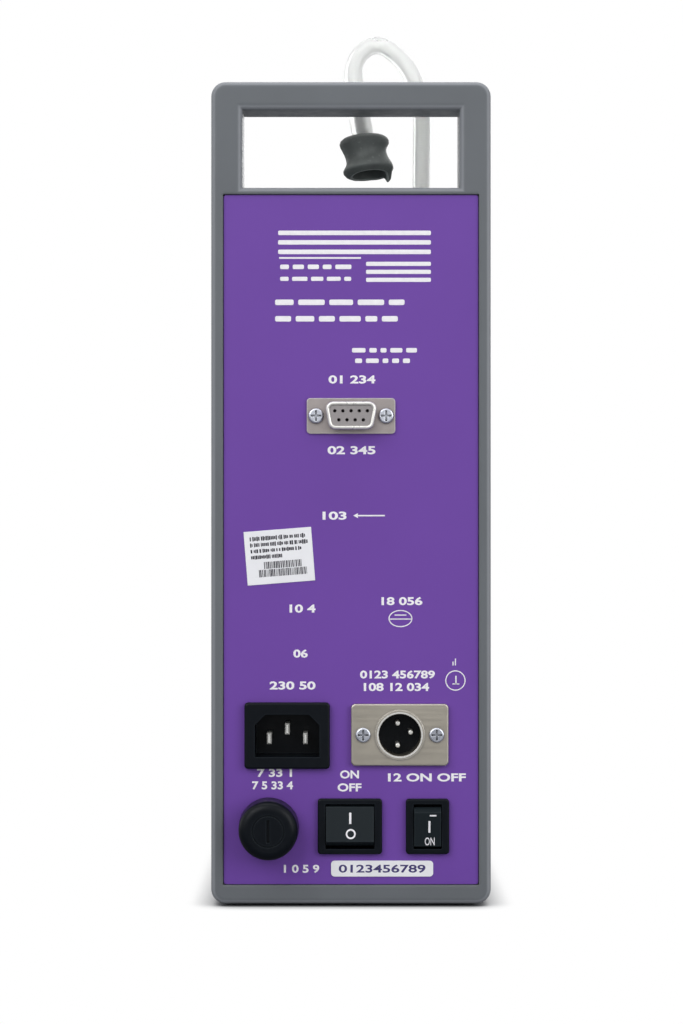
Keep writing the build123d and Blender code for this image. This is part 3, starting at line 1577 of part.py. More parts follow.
# Pump motor: a square flange, a gear case and a smaller can
with BuildPart() as pump_motor:
    with BuildSketch(face_at(bracket_back_y)):
        with Locations((0, pump_z)):
            RectangleRounded(motor_flange_width, motor_flange_width, corner_radius)
    extrude(amount=motor_flange_thickness)
    with BuildSketch(face_at(bracket_back_y)):
        with Locations((0, pump_z)):
            Circle(motor_radius)
    extrude(amount=motor_length - motor_can_length)
    with BuildSketch(face_at(bracket_back_y)):
        with Locations((0, pump_z)):
            Circle(motor_can_radius)
    extrude(amount=motor_length)
    with BuildSketch(face_at(bracket_back_y)):
        with Locations((0, pump_z)):
            Circle(rotor_shaft_radius + shaft_clearance)
    extrude(amount=rotor_shaft_reach + moving_gap, mode=Mode.SUBTRACT)
pump_motor.part.label = "pump_motor"
export_step(pump_motor.part, "parts/pump_motor.step")

# Inlet line: from the fitting, forward of the cell, back into its front port
inlet_route = [
    (0, intake_y, fitting_top_z + line_stub_length),
    (0, intake_y, cell_centre_z),
    (0, bracket_front_y + cell_depth + line_stub_length, cell_centre_z),
]
inlet_line, inlet_length, inlet_radii = tube_along(inlet_route, line_radius, line_bore_radius)
inlet_line.part.label = "inlet_line"
export_step(inlet_line.part, "parts/inlet_line.step")

# Outlet line: from the pump, through the bracket, up to the hose under the deck
outlet_line, outlet_length, outlet_radii = tube_along(outlet_route, line_radius, line_bore_radius)
outlet_line.part.label = "outlet_line"
export_step(outlet_line.part, "parts/outlet_line.step")

# Main board on the standoffs of the left cover, with its chips and relays
board_back_x = sheet + standoff_height - housing_width / 2
board_face_x = board_back_x + board_thickness
with BuildPart() as main_board:
    with BuildSketch(Plane.YZ.offset(board_back_x)):
        with Locations((main_board_y, main_board_z)):
            Rectangle(main_board_depth, main_board_height)
    extrude(amount=board_thickness)
    with BuildSketch(Plane.YZ.offset(board_face_x)):
        with Locations((main_board_y, main_board_z)):
            with GridLocations(2 * chip_size, 2 * chip_size, 2, 2):
                Rectangle(chip_size, chip_size)
    extrude(amount=chip_height)
    with BuildSketch(Plane.YZ.offset(board_face_x)):
        with Locations((main_board_y - main_board_depth / 2 + relay_size, main_board_z)):
            with GridLocations(0, 3 * relay_size / 2, 1, 2):
                Rectangle(relay_size, relay_size)
    extrude(amount=relay_height)
main_board.part.label = "main_board"
export_step(main_board.part, "parts/main_board.step")

# Capacitors along the lower edge of the board
capacitor_row_z = main_board_z - main_board_height / 2 + board_hole_inset + capacitor_radius
with BuildPart() as board_capacitors:
    with BuildSketch(Plane.YZ.offset(board_face_x)):
        with Locations((main_board_y, capacitor_row_z)):
            with GridLocations(capacitor_spacing, 0, capacitor_count, 1):
                Circle(capacitor_radius)
    extrude(amount=capacitor_height)
board_capacitors.part.label = "board_capacitors"
export_step(board_capacitors.part, "parts/board_capacitors.step")

# Heat sink at the top of the board
sink_y = main_board_y
sink_z = main_board_z + main_board_height / 2 - board_hole_inset - sink_width / 2
with BuildPart() as heat_sink:
    with BuildSketch(Plane.YZ.offset(board_face_x)):
        with Locations((sink_y, sink_z)):
            Rectangle(sink_height, sink_width)
    extrude(amount=sink_base)
    with BuildSketch(Plane.YZ.offset(board_face_x)):
        with Locations((sink_y, sink_z)):
            with GridLocations(0, sink_fin_pitch, 1, sink_fin_count):
                Rectangle(sink_height, sink_fin_thickness)
    extrude(amount=sink_fin_depth)
heat_sink.part.label = "heat_sink"
export_step(heat_sink.part, "parts/heat_sink.step")

# Transformer: a laminated core on two feet, and the winding round its middle leg
core_low_z = base_top + core_foot_thickness
core_centre_z = core_low_z + core_height / 2
core_window_width = (core_width - core_centre_leg - 2 * core_leg) / 2
core_window_height = core_height - 2 * core_yoke
with BuildPart() as transformer_core:
    with BuildSketch(face_at(core_y + core_depth / 2)):
        with Locations((core_x, core_centre_z)):
            Rectangle(core_width, core_height)
        for side in (-1, 1):
            with Locations(
                (core_x + side * (core_centre_leg + core_window_width) / 2, core_centre_z)
            ):
                Rectangle(core_window_width, core_window_height, mode=Mode.SUBTRACT)
    extrude(amount=core_depth)
    with BuildSketch(Plane.XY.offset(base_top)):
        with Locations((core_x, core_y)):
            Rectangle(core_foot_width, core_depth)
    extrude(amount=core_foot_thickness)
transformer_core.part.label = "transformer_core"
export_step(transformer_core.part, "parts/transformer_core.step")

with BuildPart() as transformer_coil:
    with BuildSketch(Plane.XY.offset(core_centre_z)):
        with Locations((core_x, core_y)):
            RectangleRounded(
                core_centre_leg + 2 * core_window_width - 2 * coil_gap,
                core_depth + 2 * coil_bulge,
                coil_round,
            )
            Rectangle(
                core_centre_leg + 2 * coil_gap,
                core_depth + 2 * coil_gap,
                mode=Mode.SUBTRACT,
            )
    extrude(amount=core_window_height / 2 - coil_gap, both=True)
transformer_coil.part.label = "transformer_coil"
export_step(transformer_coil.part, "parts/transformer_coil.step")

# The tubes' lengths, their bends and how well each solid fills its section
for tube_name, tube, outer, bore, length, radii in (
    ("milk_hose", milk_hose, hose_diameter / 2, hose_bore_radius, hose_length, hose_radii),
    ("inlet_line", inlet_line, line_radius, line_bore_radius, inlet_length, inlet_radii),
    ("outlet_line", outlet_line, line_radius, line_bore_radius, outlet_length, outlet_radii),
):
    section = Circle(outer).area - Circle(bore).area
    print(tube_name, "length", round(length, 1), "volume ratio",
          round(tube.part.volume / (section * length), 4))
    print("  radii", [round(radius, 1) for radius in radii])
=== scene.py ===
import json
from math import cos, exp, pi, radians, sin, tan
from random import Random

import bmesh
import bpy
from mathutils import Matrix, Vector


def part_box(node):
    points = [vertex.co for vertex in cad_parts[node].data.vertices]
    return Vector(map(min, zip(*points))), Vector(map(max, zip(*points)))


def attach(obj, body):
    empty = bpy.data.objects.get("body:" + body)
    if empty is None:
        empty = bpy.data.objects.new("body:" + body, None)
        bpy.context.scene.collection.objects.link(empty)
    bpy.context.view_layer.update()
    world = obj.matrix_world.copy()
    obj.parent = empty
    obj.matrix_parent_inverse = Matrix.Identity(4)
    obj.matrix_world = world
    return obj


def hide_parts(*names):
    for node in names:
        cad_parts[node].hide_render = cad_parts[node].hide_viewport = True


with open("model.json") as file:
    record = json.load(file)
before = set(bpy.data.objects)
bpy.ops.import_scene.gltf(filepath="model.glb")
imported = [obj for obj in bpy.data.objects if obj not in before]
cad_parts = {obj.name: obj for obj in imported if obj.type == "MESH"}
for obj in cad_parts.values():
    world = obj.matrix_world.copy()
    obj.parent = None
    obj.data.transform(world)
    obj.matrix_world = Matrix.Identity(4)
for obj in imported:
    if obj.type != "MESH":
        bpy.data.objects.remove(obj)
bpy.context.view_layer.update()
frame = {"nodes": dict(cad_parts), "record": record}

scene = bpy.context.scene
MM = 0.001

# Printed marks are placed by the photograph, which shows 0.357 mm in a pixel at the panel
PIXEL = 0.357 * MM
MIDDLE_PX = 351.0
BASE_PX = 904.0
BASE_RISE = 1.0 * MM

# The two sides that are printed on, the ink's thickness, how much bolder than its font lettering is,
# and its depth before it is laid on a surface
REAR = -1
FRONT = 1
INK = 0.03 * MM
THIN = 0.01
PLAIN = 0.02
BOLD = 0.032
LETTER_DEPTH = 0.01


def photo_x(px):
    return (px - MIDDLE_PX) * PIXEL


def photo_z(px):
    return (BASE_PX - px) * PIXEL + BASE_RISE


def photo_length(px):
    return px * PIXEL


def colour(red, green, blue):
    """Linear colour of a colour given as it looks, in bytes."""
    def linear(value):
        share = value / 255
        return share / 12.92 if share <= 0.04045 else ((share + 0.055) / 1.055) ** 2.4

    return (linear(red), linear(green), linear(blue), 1.0)


# Finishes

# Painted shade in recesses: its dark colour and its reach
CREVICE_SHADE_DARK = (0.004, 0.004, 0.005, 1.0)
CREVICE_SHADE_REACH = 1.2 * MM
EDGE_REACH = 0.75 * MM
GLOSS_GRAINS = 4

# The values of a pattern between which it sets in
PATTERN_RANGE = (0.3, 0.7)
SPECK_RANGE = (0.66, 0.72)
FLAT_RANGE = (0.9, 0.995)
EDGE_WEAR_AND_HIGHLIGHT_RANGE = (0.86, 0.99)
OPEN_RANGE = (0.25, 0.85)


def shaded(paint, factor):
    return tuple(min(1.0, channel * factor) for channel in paint[:3]) + (1.0,)


def add_node(tree, kind, **settings):
    node = tree.nodes.new(kind)
    for name, value in settings.items():
        if name in node.inputs:
            node.inputs[name].default_value = value
        else:
            setattr(node, name, value)
    return node


def maths(tree, operation, first, second, use_clamp=False):
    node = add_node(tree, "ShaderNodeMath", operation=operation, use_clamp=use_clamp)
    tree.links.new(first, node.inputs[0])
    tree.links.new(second, node.inputs[1])
    return node.outputs[0]


def noise(tree, place, size, detail=3.0, stretch=None):
    """Noise with features of a real size, along the object's own coordinates."""
    source = place
    if stretch:
        mapping = add_node(tree, "ShaderNodeMapping", Scale=stretch)
        tree.links.new(place, mapping.inputs["Vector"])
        source = mapping.outputs["Vector"]
    texture = add_node(tree, "ShaderNodeTexNoise", Scale=1.0 / size, Detail=detail, Roughness=0.55)
    tree.links.new(source, texture.inputs["Vector"])
    return texture.outputs["Fac"]


def spread(tree, value, low, high, between=PATTERN_RANGE):
    """A value brought from the range it is between to a range from low to high."""
    node = add_node(tree, "ShaderNodeMapRange")
    node.inputs["From Min"].default_value, node.inputs["From Max"].default_value = between
    node.inputs["To Min"].default_value = low
    node.inputs["To Max"].default_value = high
    tree.links.new(value, node.inputs["Value"])
    return node.outputs["Result"]


def mixed(tree, factor, first, second):
    node = tree.nodes.new("ShaderNodeMix")
    node.data_type = "RGBA"
    tree.links.new(factor, node.inputs["Factor"])
    for value, socket in ((first, node.inputs["A"]), (second, node.inputs["B"])):
        if isinstance(value, tuple):
            socket.default_value = value
        else:
            tree.links.new(value, socket)
    return node.outputs["Result"]


def mixed_shader(tree, share, first, second):
    mix = tree.nodes.new("ShaderNodeMixShader")
    for index, source in enumerate((share, first, second)):
        tree.links.new(source, mix.inputs[index])
    return mix.outputs[0]


def roundness(tree):
    """Mask of the painted highlight: one on a moulding's rounded edges, none on the faces that look
    along an axis.
    """
    normal = tree.nodes.new("ShaderNodeTexCoord").outputs["Normal"]
    size = add_node(tree, "ShaderNodeVectorMath", operation="ABSOLUTE")
    tree.links.new(normal, size.inputs[0])
    parts = tree.nodes.new("ShaderNodeSeparateXYZ")
    tree.links.new(size.outputs["Vector"], parts.inputs[0])
    widest = parts.outputs["X"]
    for axis in ("Y", "Z"):
        widest = maths(tree, "MAXIMUM", widest, parts.outputs[axis])
    return spread(tree, widest, 1.0, 0.0, FLAT_RANGE)


def finish(
    name,
    paint,
    roughness,
    metallic=0.0,
    tint=0.05,
    cloud=35 * MM,
    grain=0.6 * MM,
    depth=0.01 * MM,
    rough_spread=0.06,
    stretch=None,
    soft_edge=0.25 * MM,
    edge_wear_and_highlight=None,
    edge_share=0.5,
    speck=None,
    speck_size=1.2 * MM,
    crevice_shade=0.0,
    round_highlight=None,
    **sockets,
):
    """A procedural finish.

    It has a clouded colour, a grain, an uneven gloss and softened edges. Specks of another colour,
    lighter edges (a painted highlight with some wear), lighter rounded places (a painted highlight)
    and darker recesses (painted shade) come where they are asked for.
    """
    material = bpy.data.materials.new(name)
    material.use_nodes = True
    tree = material.node_tree
    shader = tree.nodes["Principled BSDF"]
    place = tree.nodes.new("ShaderNodeTexCoord").outputs["Object"]

    clouds = spread(tree, noise(tree, place, cloud), 0.0, 1.0)
    base = mixed(tree, clouds, shaded(paint, 1 - tint), shaded(paint, 1 + tint))
    if speck:
        specks = spread(tree, noise(tree, place, speck_size, detail=1.0), 0.0, 1.0, SPECK_RANGE)
        base = mixed(tree, specks, base, speck)
    bevel = None
    if soft_edge:
        bevel = add_node(tree, "ShaderNodeBevel", Radius=soft_edge, samples=4)
    # Lighter edges: a painted highlight along sharp edges, with some wear
    if edge_wear_and_highlight:
        wide = add_node(tree, "ShaderNodeBevel", Radius=EDGE_REACH, samples=4)
        flat = tree.nodes.new("ShaderNodeNewGeometry").outputs["Normal"]
        dot = add_node(tree, "ShaderNodeVectorMath", operation="DOT_PRODUCT")
        tree.links.new(wide.outputs["Normal"], dot.inputs[0])
        tree.links.new(flat, dot.inputs[1])
        edge_wear_and_highlight_share = spread(tree, dot.outputs["Value"], edge_share, 0.0, EDGE_WEAR_AND_HIGHLIGHT_RANGE)
        base = mixed(tree, edge_wear_and_highlight_share, base, edge_wear_and_highlight)
    # Painted highlight: rounded places get a lighter colour for the light they catch
    if round_highlight:
        base = mixed(tree, roundness(tree), base, round_highlight)
    # Painted shade: recesses found by ambient occlusion get a dark colour
    if crevice_shade:
        hidden = add_node(tree, "ShaderNodeAmbientOcclusion", Distance=CREVICE_SHADE_REACH, samples=6)
        open_share = spread(tree, hidden.outputs["AO"], crevice_shade, 0.0, OPEN_RANGE)
        base = mixed(tree, open_share, base, CREVICE_SHADE_DARK)
    tree.links.new(base, shader.inputs["Base Color"])

    gloss = noise(tree, place, GLOSS_GRAINS * grain, detail=4.0, stretch=stretch)
    uneven = spread(tree, gloss, roughness - rough_spread, roughness + rough_spread)
    tree.links.new(uneven, shader.inputs["Roughness"])

    bump = add_node(tree, "ShaderNodeBump", Strength=1.0, Distance=depth)
    tree.links.new(noise(tree, place, grain, detail=2.0, stretch=stretch), bump.inputs["Height"])
    if bevel:
        tree.links.new(bevel.outputs["Normal"], bump.inputs["Normal"])
    tree.links.new(bump.outputs["Normal"], shader.inputs["Normal"])

    shader.inputs["Metallic"].default_value = metallic
    for socket, value in sockets.items():
        shader.inputs[socket.replace("_", " ")].default_value = value
    return material


# Frame grey: lighter edges are a painted highlight with some wear, and lighter rounded edges are a
# painted highlight
frame_grey = finish(
    "frame_grey", colour(105, 109, 113), 0.46, tint=0.05, grain=0.7 * MM, depth=0.012 * MM,
    soft_edge=1.4 * MM, edge_wear_and_highlight=colour(142, 145, 149), edge_share=0.35,
    round_highlight=colour(138, 141, 146), Specular_IOR_Level=0.3,
)
panel_purple = finish(
    "panel_purple", colour(112, 71, 165), 0.42, tint=0.03, cloud=60 * MM, grain=0.45 * MM,
    depth=0.006 * MM, rough_spread=0.04, Specular_IOR_Level=0.3,
)
bay_white = finish("bay_white", colour(214, 214, 210), 0.42, tint=0.03, grain=0.8 * MM)
# Black plastics: lighter edges are a painted highlight with some wear
black_gloss = finish(
    "black_gloss", colour(9, 14, 20), 0.34, tint=0.12, grain=0.5 * MM, depth=0.008 * MM,
    Specular_IOR_Level=0.13, edge_wear_and_highlight=colour(44, 52, 58), edge_share=0.4,
)
rocker_black = finish(
    "rocker_black", colour(25, 32, 36), 0.44, tint=0.08, grain=0.35 * MM, depth=0.01 * MM,
    Specular_IOR_Level=0.15, edge_wear_and_highlight=colour(58, 66, 70), edge_share=0.4,
)
# Metals: lighter edges are a painted highlight with some wear, and darker recesses carry painted
# shade
nickel = finish(
    "nickel", colour(176, 170, 158), 0.36, metallic=1.0, tint=0.06, cloud=9 * MM, grain=0.25 * MM,
    depth=0.004 * MM, stretch=(0.05, 1.0, 1.0), edge_wear_and_highlight=colour(215, 212, 206), edge_share=0.6,
    crevice_shade=0.5,
)
zinc = finish(
    "zinc", colour(158, 151, 149), 0.4, metallic=1.0, tint=0.07, cloud=5 * MM, grain=0.25 * MM,
    depth=0.004 * MM, edge_wear_and_highlight=colour(205, 200, 200), edge_share=0.7, crevice_shade=0.6,
)
steel = finish(
    "steel", colour(196, 200, 210), 0.26, metallic=1.0, tint=0.1, cloud=2.5 * MM, grain=0.3 * MM,
    depth=0.006 * MM, edge_wear_and_highlight=colour(236, 238, 244), edge_share=0.5, crevice_shade=0.95,
)
contact = finish(
    "contact", colour(232, 231, 226), 0.3, metallic=0.6, tint=0.05, cloud=3 * MM, grain=0.4 * MM,
    depth=0.001 * MM, soft_edge=None,
)
serial_grey = finish(
    "serial_grey", colour(153, 148, 148), 0.5, tint=0.05, cloud=5 * MM, grain=0.4 * MM,
)
foot_rubber = finish(
    "foot_rubber", colour(34, 34, 35), 0.8, tint=0.1, grain=0.5 * MM, depth=0.03 * MM,
)
adaptor_rubber = finish(
    "adaptor_rubber", colour(97, 102, 100), 0.58, tint=0.14, cloud=6 * MM, grain=0.5 * MM,
    depth=0.03 * MM, rough_spread=0.12, speck=colour(112, 116, 114), speck_size=1.6 * MM,
)
# Painted highlight on the adaptor's lip, where its lower edge catches light from below
adaptor_lip_highlight = finish(
    "adaptor_lip_highlight", colour(150, 155, 153), 0.5, tint=0.12, cloud=1.5 * MM, grain=0.3 * MM,
    depth=0.02 * MM,
)
line_silicone = finish(
    "line_silicone", colour(226, 224, 214), 0.35, tint=0.03, grain=0.8 * MM,
    Transmission_Weight=0.5, IOR=1.41,
)
sticker_white = finish(
    "sticker_white", colour(246, 246, 249), 0.5, tint=0.03, cloud=8 * MM, grain=0.25 * MM,
    depth=0.01 * MM,
)
ink_white = finish("ink_white", colour(250, 248, 252), 0.5, tint=0.04, cloud=2 * MM, grain=0.2 * MM)
ink_dark = finish("ink_dark", colour(44, 42, 52), 0.6, tint=0.2, cloud=0.8 * MM, grain=0.2 * MM)
ink_violet = finish(
    "ink_violet", colour(62, 52, 110), 0.55, tint=0.12, cloud=1 * MM, grain=0.2 * MM,
)
window_clear = finish(
    "window_clear", colour(236, 240, 240), 0.06, tint=0.02, grain=2 * MM, depth=0.002 * MM,
    rough_spread=0.02, Transmission_Weight=1.0, IOR=1.49,
)
lcd_green = finish(
    "lcd_green", colour(128, 146, 104), 0.3, tint=0.04, cloud=20 * MM, grain=0.5 * MM,
    depth=0.002 * MM,
)
board_green = finish(
    "board_green", colour(24, 92, 52), 0.35, tint=0.12, cloud=6 * MM, grain=0.5 * MM,
)
key_grey = finish("key_grey", colour(212, 212, 208), 0.48, tint=0.03, grain=0.4 * MM)
stainless = finish(
    "stainless", colour(196, 197, 198), 0.28, metallic=1.0, tint=0.05, cloud=12 * MM,
    grain=0.3 * MM, depth=0.003 * MM, stretch=(1.0, 1.0, 0.04),
)
aluminium = finish(
    "aluminium", colour(198, 200, 204), 0.36, metallic=1.0, tint=0.05, cloud=10 * MM,
    grain=0.3 * MM, depth=0.004 * MM, stretch=(0.06, 1.0, 1.0),
)
brass = finish("brass", colour(196, 168, 96), 0.32, metallic=1.0, tint=0.08, grain=0.4 * MM)
pump_black = finish("pump_black", colour(52, 52, 55), 0.5, tint=0.08, grain=0.6 * MM)
capacitor_blue = finish("capacitor_blue", colour(34, 42, 84), 0.4, tint=0.06, grain=0.5 * MM)
core_iron = finish(
    "core_iron", colour(96, 92, 90), 0.5, metallic=0.7, tint=0.15, grain=0.5 * MM,
    stretch=(1.0, 0.05, 1.0),
)
tape_yellow = finish("tape_yellow", colour(206, 176, 70), 0.45, tint=0.08, grain=0.5 * MM)
silicone = finish(
    "silicone", colour(250, 251, 249), 0.3, tint=0.01, cloud=14 * MM, grain=4 * MM,
    depth=0.004 * MM, soft_edge=None, rough_spread=0.04, Transmission_Weight=0.58, IOR=1.2,
    Subsurface_Weight=1.0, Subsurface_Radius=(1.0, 1.0, 1.0), Subsurface_Scale=1.0 * MM,
)

finish_of_slot = {
    "grey_plastic": frame_grey,
    "grey_cover": frame_grey,
    "purple_panel": panel_purple,
    "bay_plastic": bay_white,
    "black_plastic": black_gloss,
    "rocker_plastic": rocker_black,
    "nickel": nickel,
    "screw_steel": steel,
    "contact_metal": contact,
    "serial_plastic": serial_grey,
    "foot_rubber": foot_rubber,
    "adaptor_rubber": adaptor_rubber,
    "hose_silicone": silicone,
    "line_silicone": line_silicone,
    "white_vinyl": sticker_white,
    "window_clear": window_clear,
    "lcd_face": lcd_green,
    "board_green": board_green,
    "key_plastic": key_grey,
    "stainless": stainless,
    "cell_aluminium": aluminium,
    "transducer_metal": brass,
    "pump_plastic": pump_black,
    "motor_metal": stainless,
    "capacitor_sleeve": capacitor_blue,
    "core_steel": core_iron,
    "winding_tape": tape_yellow,
}
finish_of_node = {"serial_shell": zinc, "hose_grommet": adaptor_rubber}
for part in frame["record"]["subparts"]:
    node_mesh = frame["nodes"][part["node"]].data
    node_mesh.materials.clear()
    node_mesh.materials.append(
        finish_of_node.get(part["node"], finish_of_slot[part["material_slot"]])
    )


# Mesh helpers

def make_piece(shape, name, material, body="housing", smooth=False):
    """Turns a bmesh into a piece that rides on a body."""
    bmesh.ops.recalc_face_normals(shape, faces=shape.faces)
    mesh = bpy.data.meshes.new(name)
    shape.to_mesh(mesh)
    shape.free()
    if smooth:
        mesh.shade_smooth()
    mesh.materials.append(material)
    piece = bpy.data.objects.new(name, mesh)
    scene.collection.objects.link(piece)
    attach(piece, body)
    return piece


def centre(node):
    """The middle of a CAD node's box, in X and Z."""
    low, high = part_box(node)
    return (low.x + high.x) / 2, (low.z + high.z) / 2


def flat_at(y):
    """A surface across the analyzer at one depth."""
    return lambda x, z: y


def surface_of(node, facing):
    """The outermost surface of a CAD node on one side."""
    target = frame["nodes"][node]
    low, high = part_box(node)
    start = (low if facing == REAR else high).y + facing * MM

    def surface(x, z):
        found, place, _, _ = target.ray_cast(Vector((x, start, z)), Vector((0.0, -facing, 0.0)))
        if not found:
            raise ValueError(f"{node} has no surface at {x}, {z}")
        return place.y

    return surface


def join_loops(shape, loops):
    """Faces between neighbouring loops of points, and from the last loop to the first."""
    count = len(loops[0])
    faces = []
    for first, second in zip(loops, loops[1:] + loops[:1]):
        for index in range(count):
            after = (index + 1) % count
            faces.append(
                shape.faces.new((first[index], first[after], second[after], second[index]))
            )
    return faces


def add_plate(shape, outline, surface, facing, thickness=INK):
    """A thin closed plate with the given outline, in X and Z, laid on a surface."""
    top = [shape.verts.new((x, surface(x, z) + facing * thickness, z)) for x, z in outline]
    bottom = [shape.verts.new((x, surface(x, z) - facing * INK, z)) for x, z in outline]
    shape.faces.new(top)
    shape.faces.new(list(reversed(bottom)))
    for index in range(len(outline)):
        after = (index + 1) % len(outline)
        shape.faces.new((top[index], top[after], bottom[after], bottom[index]))


def bar_outline(x, z, width, height, radius=0.0, turn=0.0, steps=4):
    """A rectangle with rounded corners, turned about its centre."""
    if not radius:
        local = [(-width / 2, -height / 2), (width / 2, -height / 2),
                 (width / 2, height / 2), (-width / 2, height / 2)]
    else:
        local = []
        for quarter, (side, up) in enumerate(((1, 1), (-1, 1), (-1, -1), (1, -1))):
            for step in range(steps + 1):
                angle = (quarter + step / steps) * pi / 2
                local.append((
                    side * (width / 2 - radius) + radius * cos(angle),
                    up * (height / 2 - radius) + radius * sin(angle),
                ))
    return [
        (x + u * cos(turn) - v * sin(turn), z + u * sin(turn) + v * cos(turn)) for u, v in local
    ]


def add_ring(shape, x, z, outer, stroke, surface, facing, flatten=1.0, count=40):
    """A thin closed ring, or an oval one, laid on a surface."""
    inner = outer - stroke
    loops = []
    for radius, lift in ((outer, INK), (inner, INK), (inner, -INK), (outer, -INK)):
        loop = []
        for step in range(count):
            angle = 2 * pi * step / count
            u = x + radius * cos(angle)
            v = z + (radius - outer + outer * flatten) * sin(angle)
            loop.append(shape.verts.new((u, surface(u, v) + facing * lift, v)))
        loops.append(loop)
    join_loops(shape, loops)


def add_text(shape, text, x, z, height, surface, facing, weight, width=None):
    """Closed plain lettering of a given cap height, centred on a point of a surface."""
    curve = bpy.data.curves.new("lettering", "FONT")
    curve.body = text
    curve.offset = weight
    curve.extrude = LETTER_DEPTH
    curve.resolution_u = 4
    holder = bpy.data.objects.new("lettering", curve)
    scene.collection.objects.link(holder)
    bpy.context.view_layer.update()
    mesh = bpy.data.meshes.new_from_object(holder)
    bpy.data.objects.remove(holder)
    across = [vertex.co.x for vertex in mesh.vertices]
    upward = [vertex.co.y for vertex in mesh.vertices]
    scale = height / (max(upward) - min(upward))
    widen = width / (max(across) - min(across)) if width else scale
    middle = ((max(across) + min(across)) / 2, (max(upward) + min(upward)) / 2)
    for vertex in mesh.vertices:
        u = x - facing * (vertex.co.x - middle[0]) * widen
        v = z + (vertex.co.y - middle[1]) * scale
        lift = INK if vertex.co.z > 0 else -INK
        vertex.co = (u, surface(u, v) + facing * lift, v)
    shape.from_mesh(mesh)
    bpy.data.meshes.remove(mesh)


# Rinse hose: the model's route, with its last two points moved 0.4 mm
HOSE_DIAMETER = 6.0 * MM
HOSE_BORE_RADIUS = 1.9 * MM
HOSE_SWELL = 1.04
HOSE_ROUTE = [
    (26.05, -87.1, 252.0),
    (26.05, -87.1, 270.5),
    (26.5, -86.6, 289.0),
    (23.6, -86.0, 301.5),
    (18.6, -85.9, 309.0),
    (9.6, -86.2, 315.2),
    (1.2, -86.9, 308.8),
    (0.9, -87.0, 296.5),
    (3.7, -87.1, 286.0),
    (5.4, -88.1, 274.6),
]

# Distances from the hose's end: how deep it sits in the adaptor, where it begins to swell and where
# it is at its widest over the adaptor's core
SOCKET_DEPTH = 5.3 * MM
FLARE_START = 34.0 * MM
FLARE_FULL = 20.0 * MM
FLARE_RADIUS = 3.95 * MM
CORE_LENGTH = 19.0 * MM
CORE_RADIUS = 1.35 * MM
CORE_BORE_RADIUS = CORE_RADIUS / 2


def spline_points(route, steps=16):
    """Points along the smooth spline that has the route's points as its control points."""
    curve = bpy.data.curves.new("hose_route", "CURVE")
    curve.dimensions = "3D"
    curve.resolution_u = steps
    spline = curve.splines.new("NURBS")
    spline.points.add(len(route) - 1)
    for point, place in zip(spline.points, route):
        point.co = (place[0] * MM, place[1] * MM, place[2] * MM, 1.0)
    spline.order_u = 3
    spline.use_endpoint_u = True
    holder = bpy.data.objects.new("hose_route", curve)
    scene.collection.objects.link(holder)
    bpy.context.view_layer.update()
    mesh = bpy.data.meshes.new_from_object(holder)
    points = [vertex.co.copy() for vertex in mesh.vertices]
    bpy.data.objects.remove(holder)
    bpy.data.meshes.remove(mesh)
    return points


def smooth_step(value, low, high):
    share = min(max((value - low) / (high - low), 0.0), 1.0)
    return share * share * (3 - 2 * share)


def flared(from_end):
    """The hose's radius at a distance from its end: wider over the core, narrow in the socket."""
    wide = 1 - smooth_step(from_end, FLARE_FULL, FLARE_START)
    wide *= smooth_step(from_end, SOCKET_DEPTH, SOCKET_DEPTH + MM)
    plain = HOSE_SWELL * HOSE_DIAMETER / 2
    return plain + wide * (FLARE_RADIUS - plain)


def tube(shape, path, radii, inner, sides=40):
    """A tube with a bore along a path."""
    across = Vector((0, 1, 0))
    rings = []
    for index, (point, outer) in enumerate(zip(path, radii)):
        before, after = path[max(index - 1, 0)], path[min(index + 1, len(path) - 1)]
        along = (after - before).normalized()
        across = (across - across.dot(along) * along).normalized()
        other = along.cross(across)
        ring = []
        for radius in (outer, inner):
            ring.append([
                shape.verts.new(point + radius * (cos(a) * across + sin(a) * other))
                for a in (2 * pi * step / sides for step in range(sides))
            ])
        rings.append(ring)
    for step in range(sides):
        beside = (step + 1) % sides
        for first, second in zip(rings, rings[1:]):
            for wall in (0, 1):
                near, far = first[wall], second[wall]
                shape.faces.new((near[step], near[beside], far[beside], far[step]))
        for end in (rings[0], rings[-1]):
            shape.faces.new((end[0][step], end[0][beside], end[1][beside], end[1][step]))


hose_path = spline_points(HOSE_ROUTE)
from_ends = [0.0]
for before, after in zip(reversed(hose_path[:-1]), reversed(hose_path[1:])):
    from_ends.insert(0, from_ends[0] + (after - before).length)
hose_shape = bmesh.new()
tube(hose_shape, hose_path, [flared(from_end) for from_end in from_ends], HOSE_BORE_RADIUS)
hose = make_piece(hose_shape, "rinse_hose", silicone, smooth=True)
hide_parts("milk_hose")
core_path = [point for point, from_end in zip(hose_path, from_ends) if from_end < CORE_LENGTH]
core_shape = bmesh.new()
tube(core_shape, core_path, [CORE_RADIUS] * len(core_path), CORE_BORE_RADIUS, sides=24)
core = make_piece(core_shape, "adaptor_core", adaptor_rubber, smooth=True)

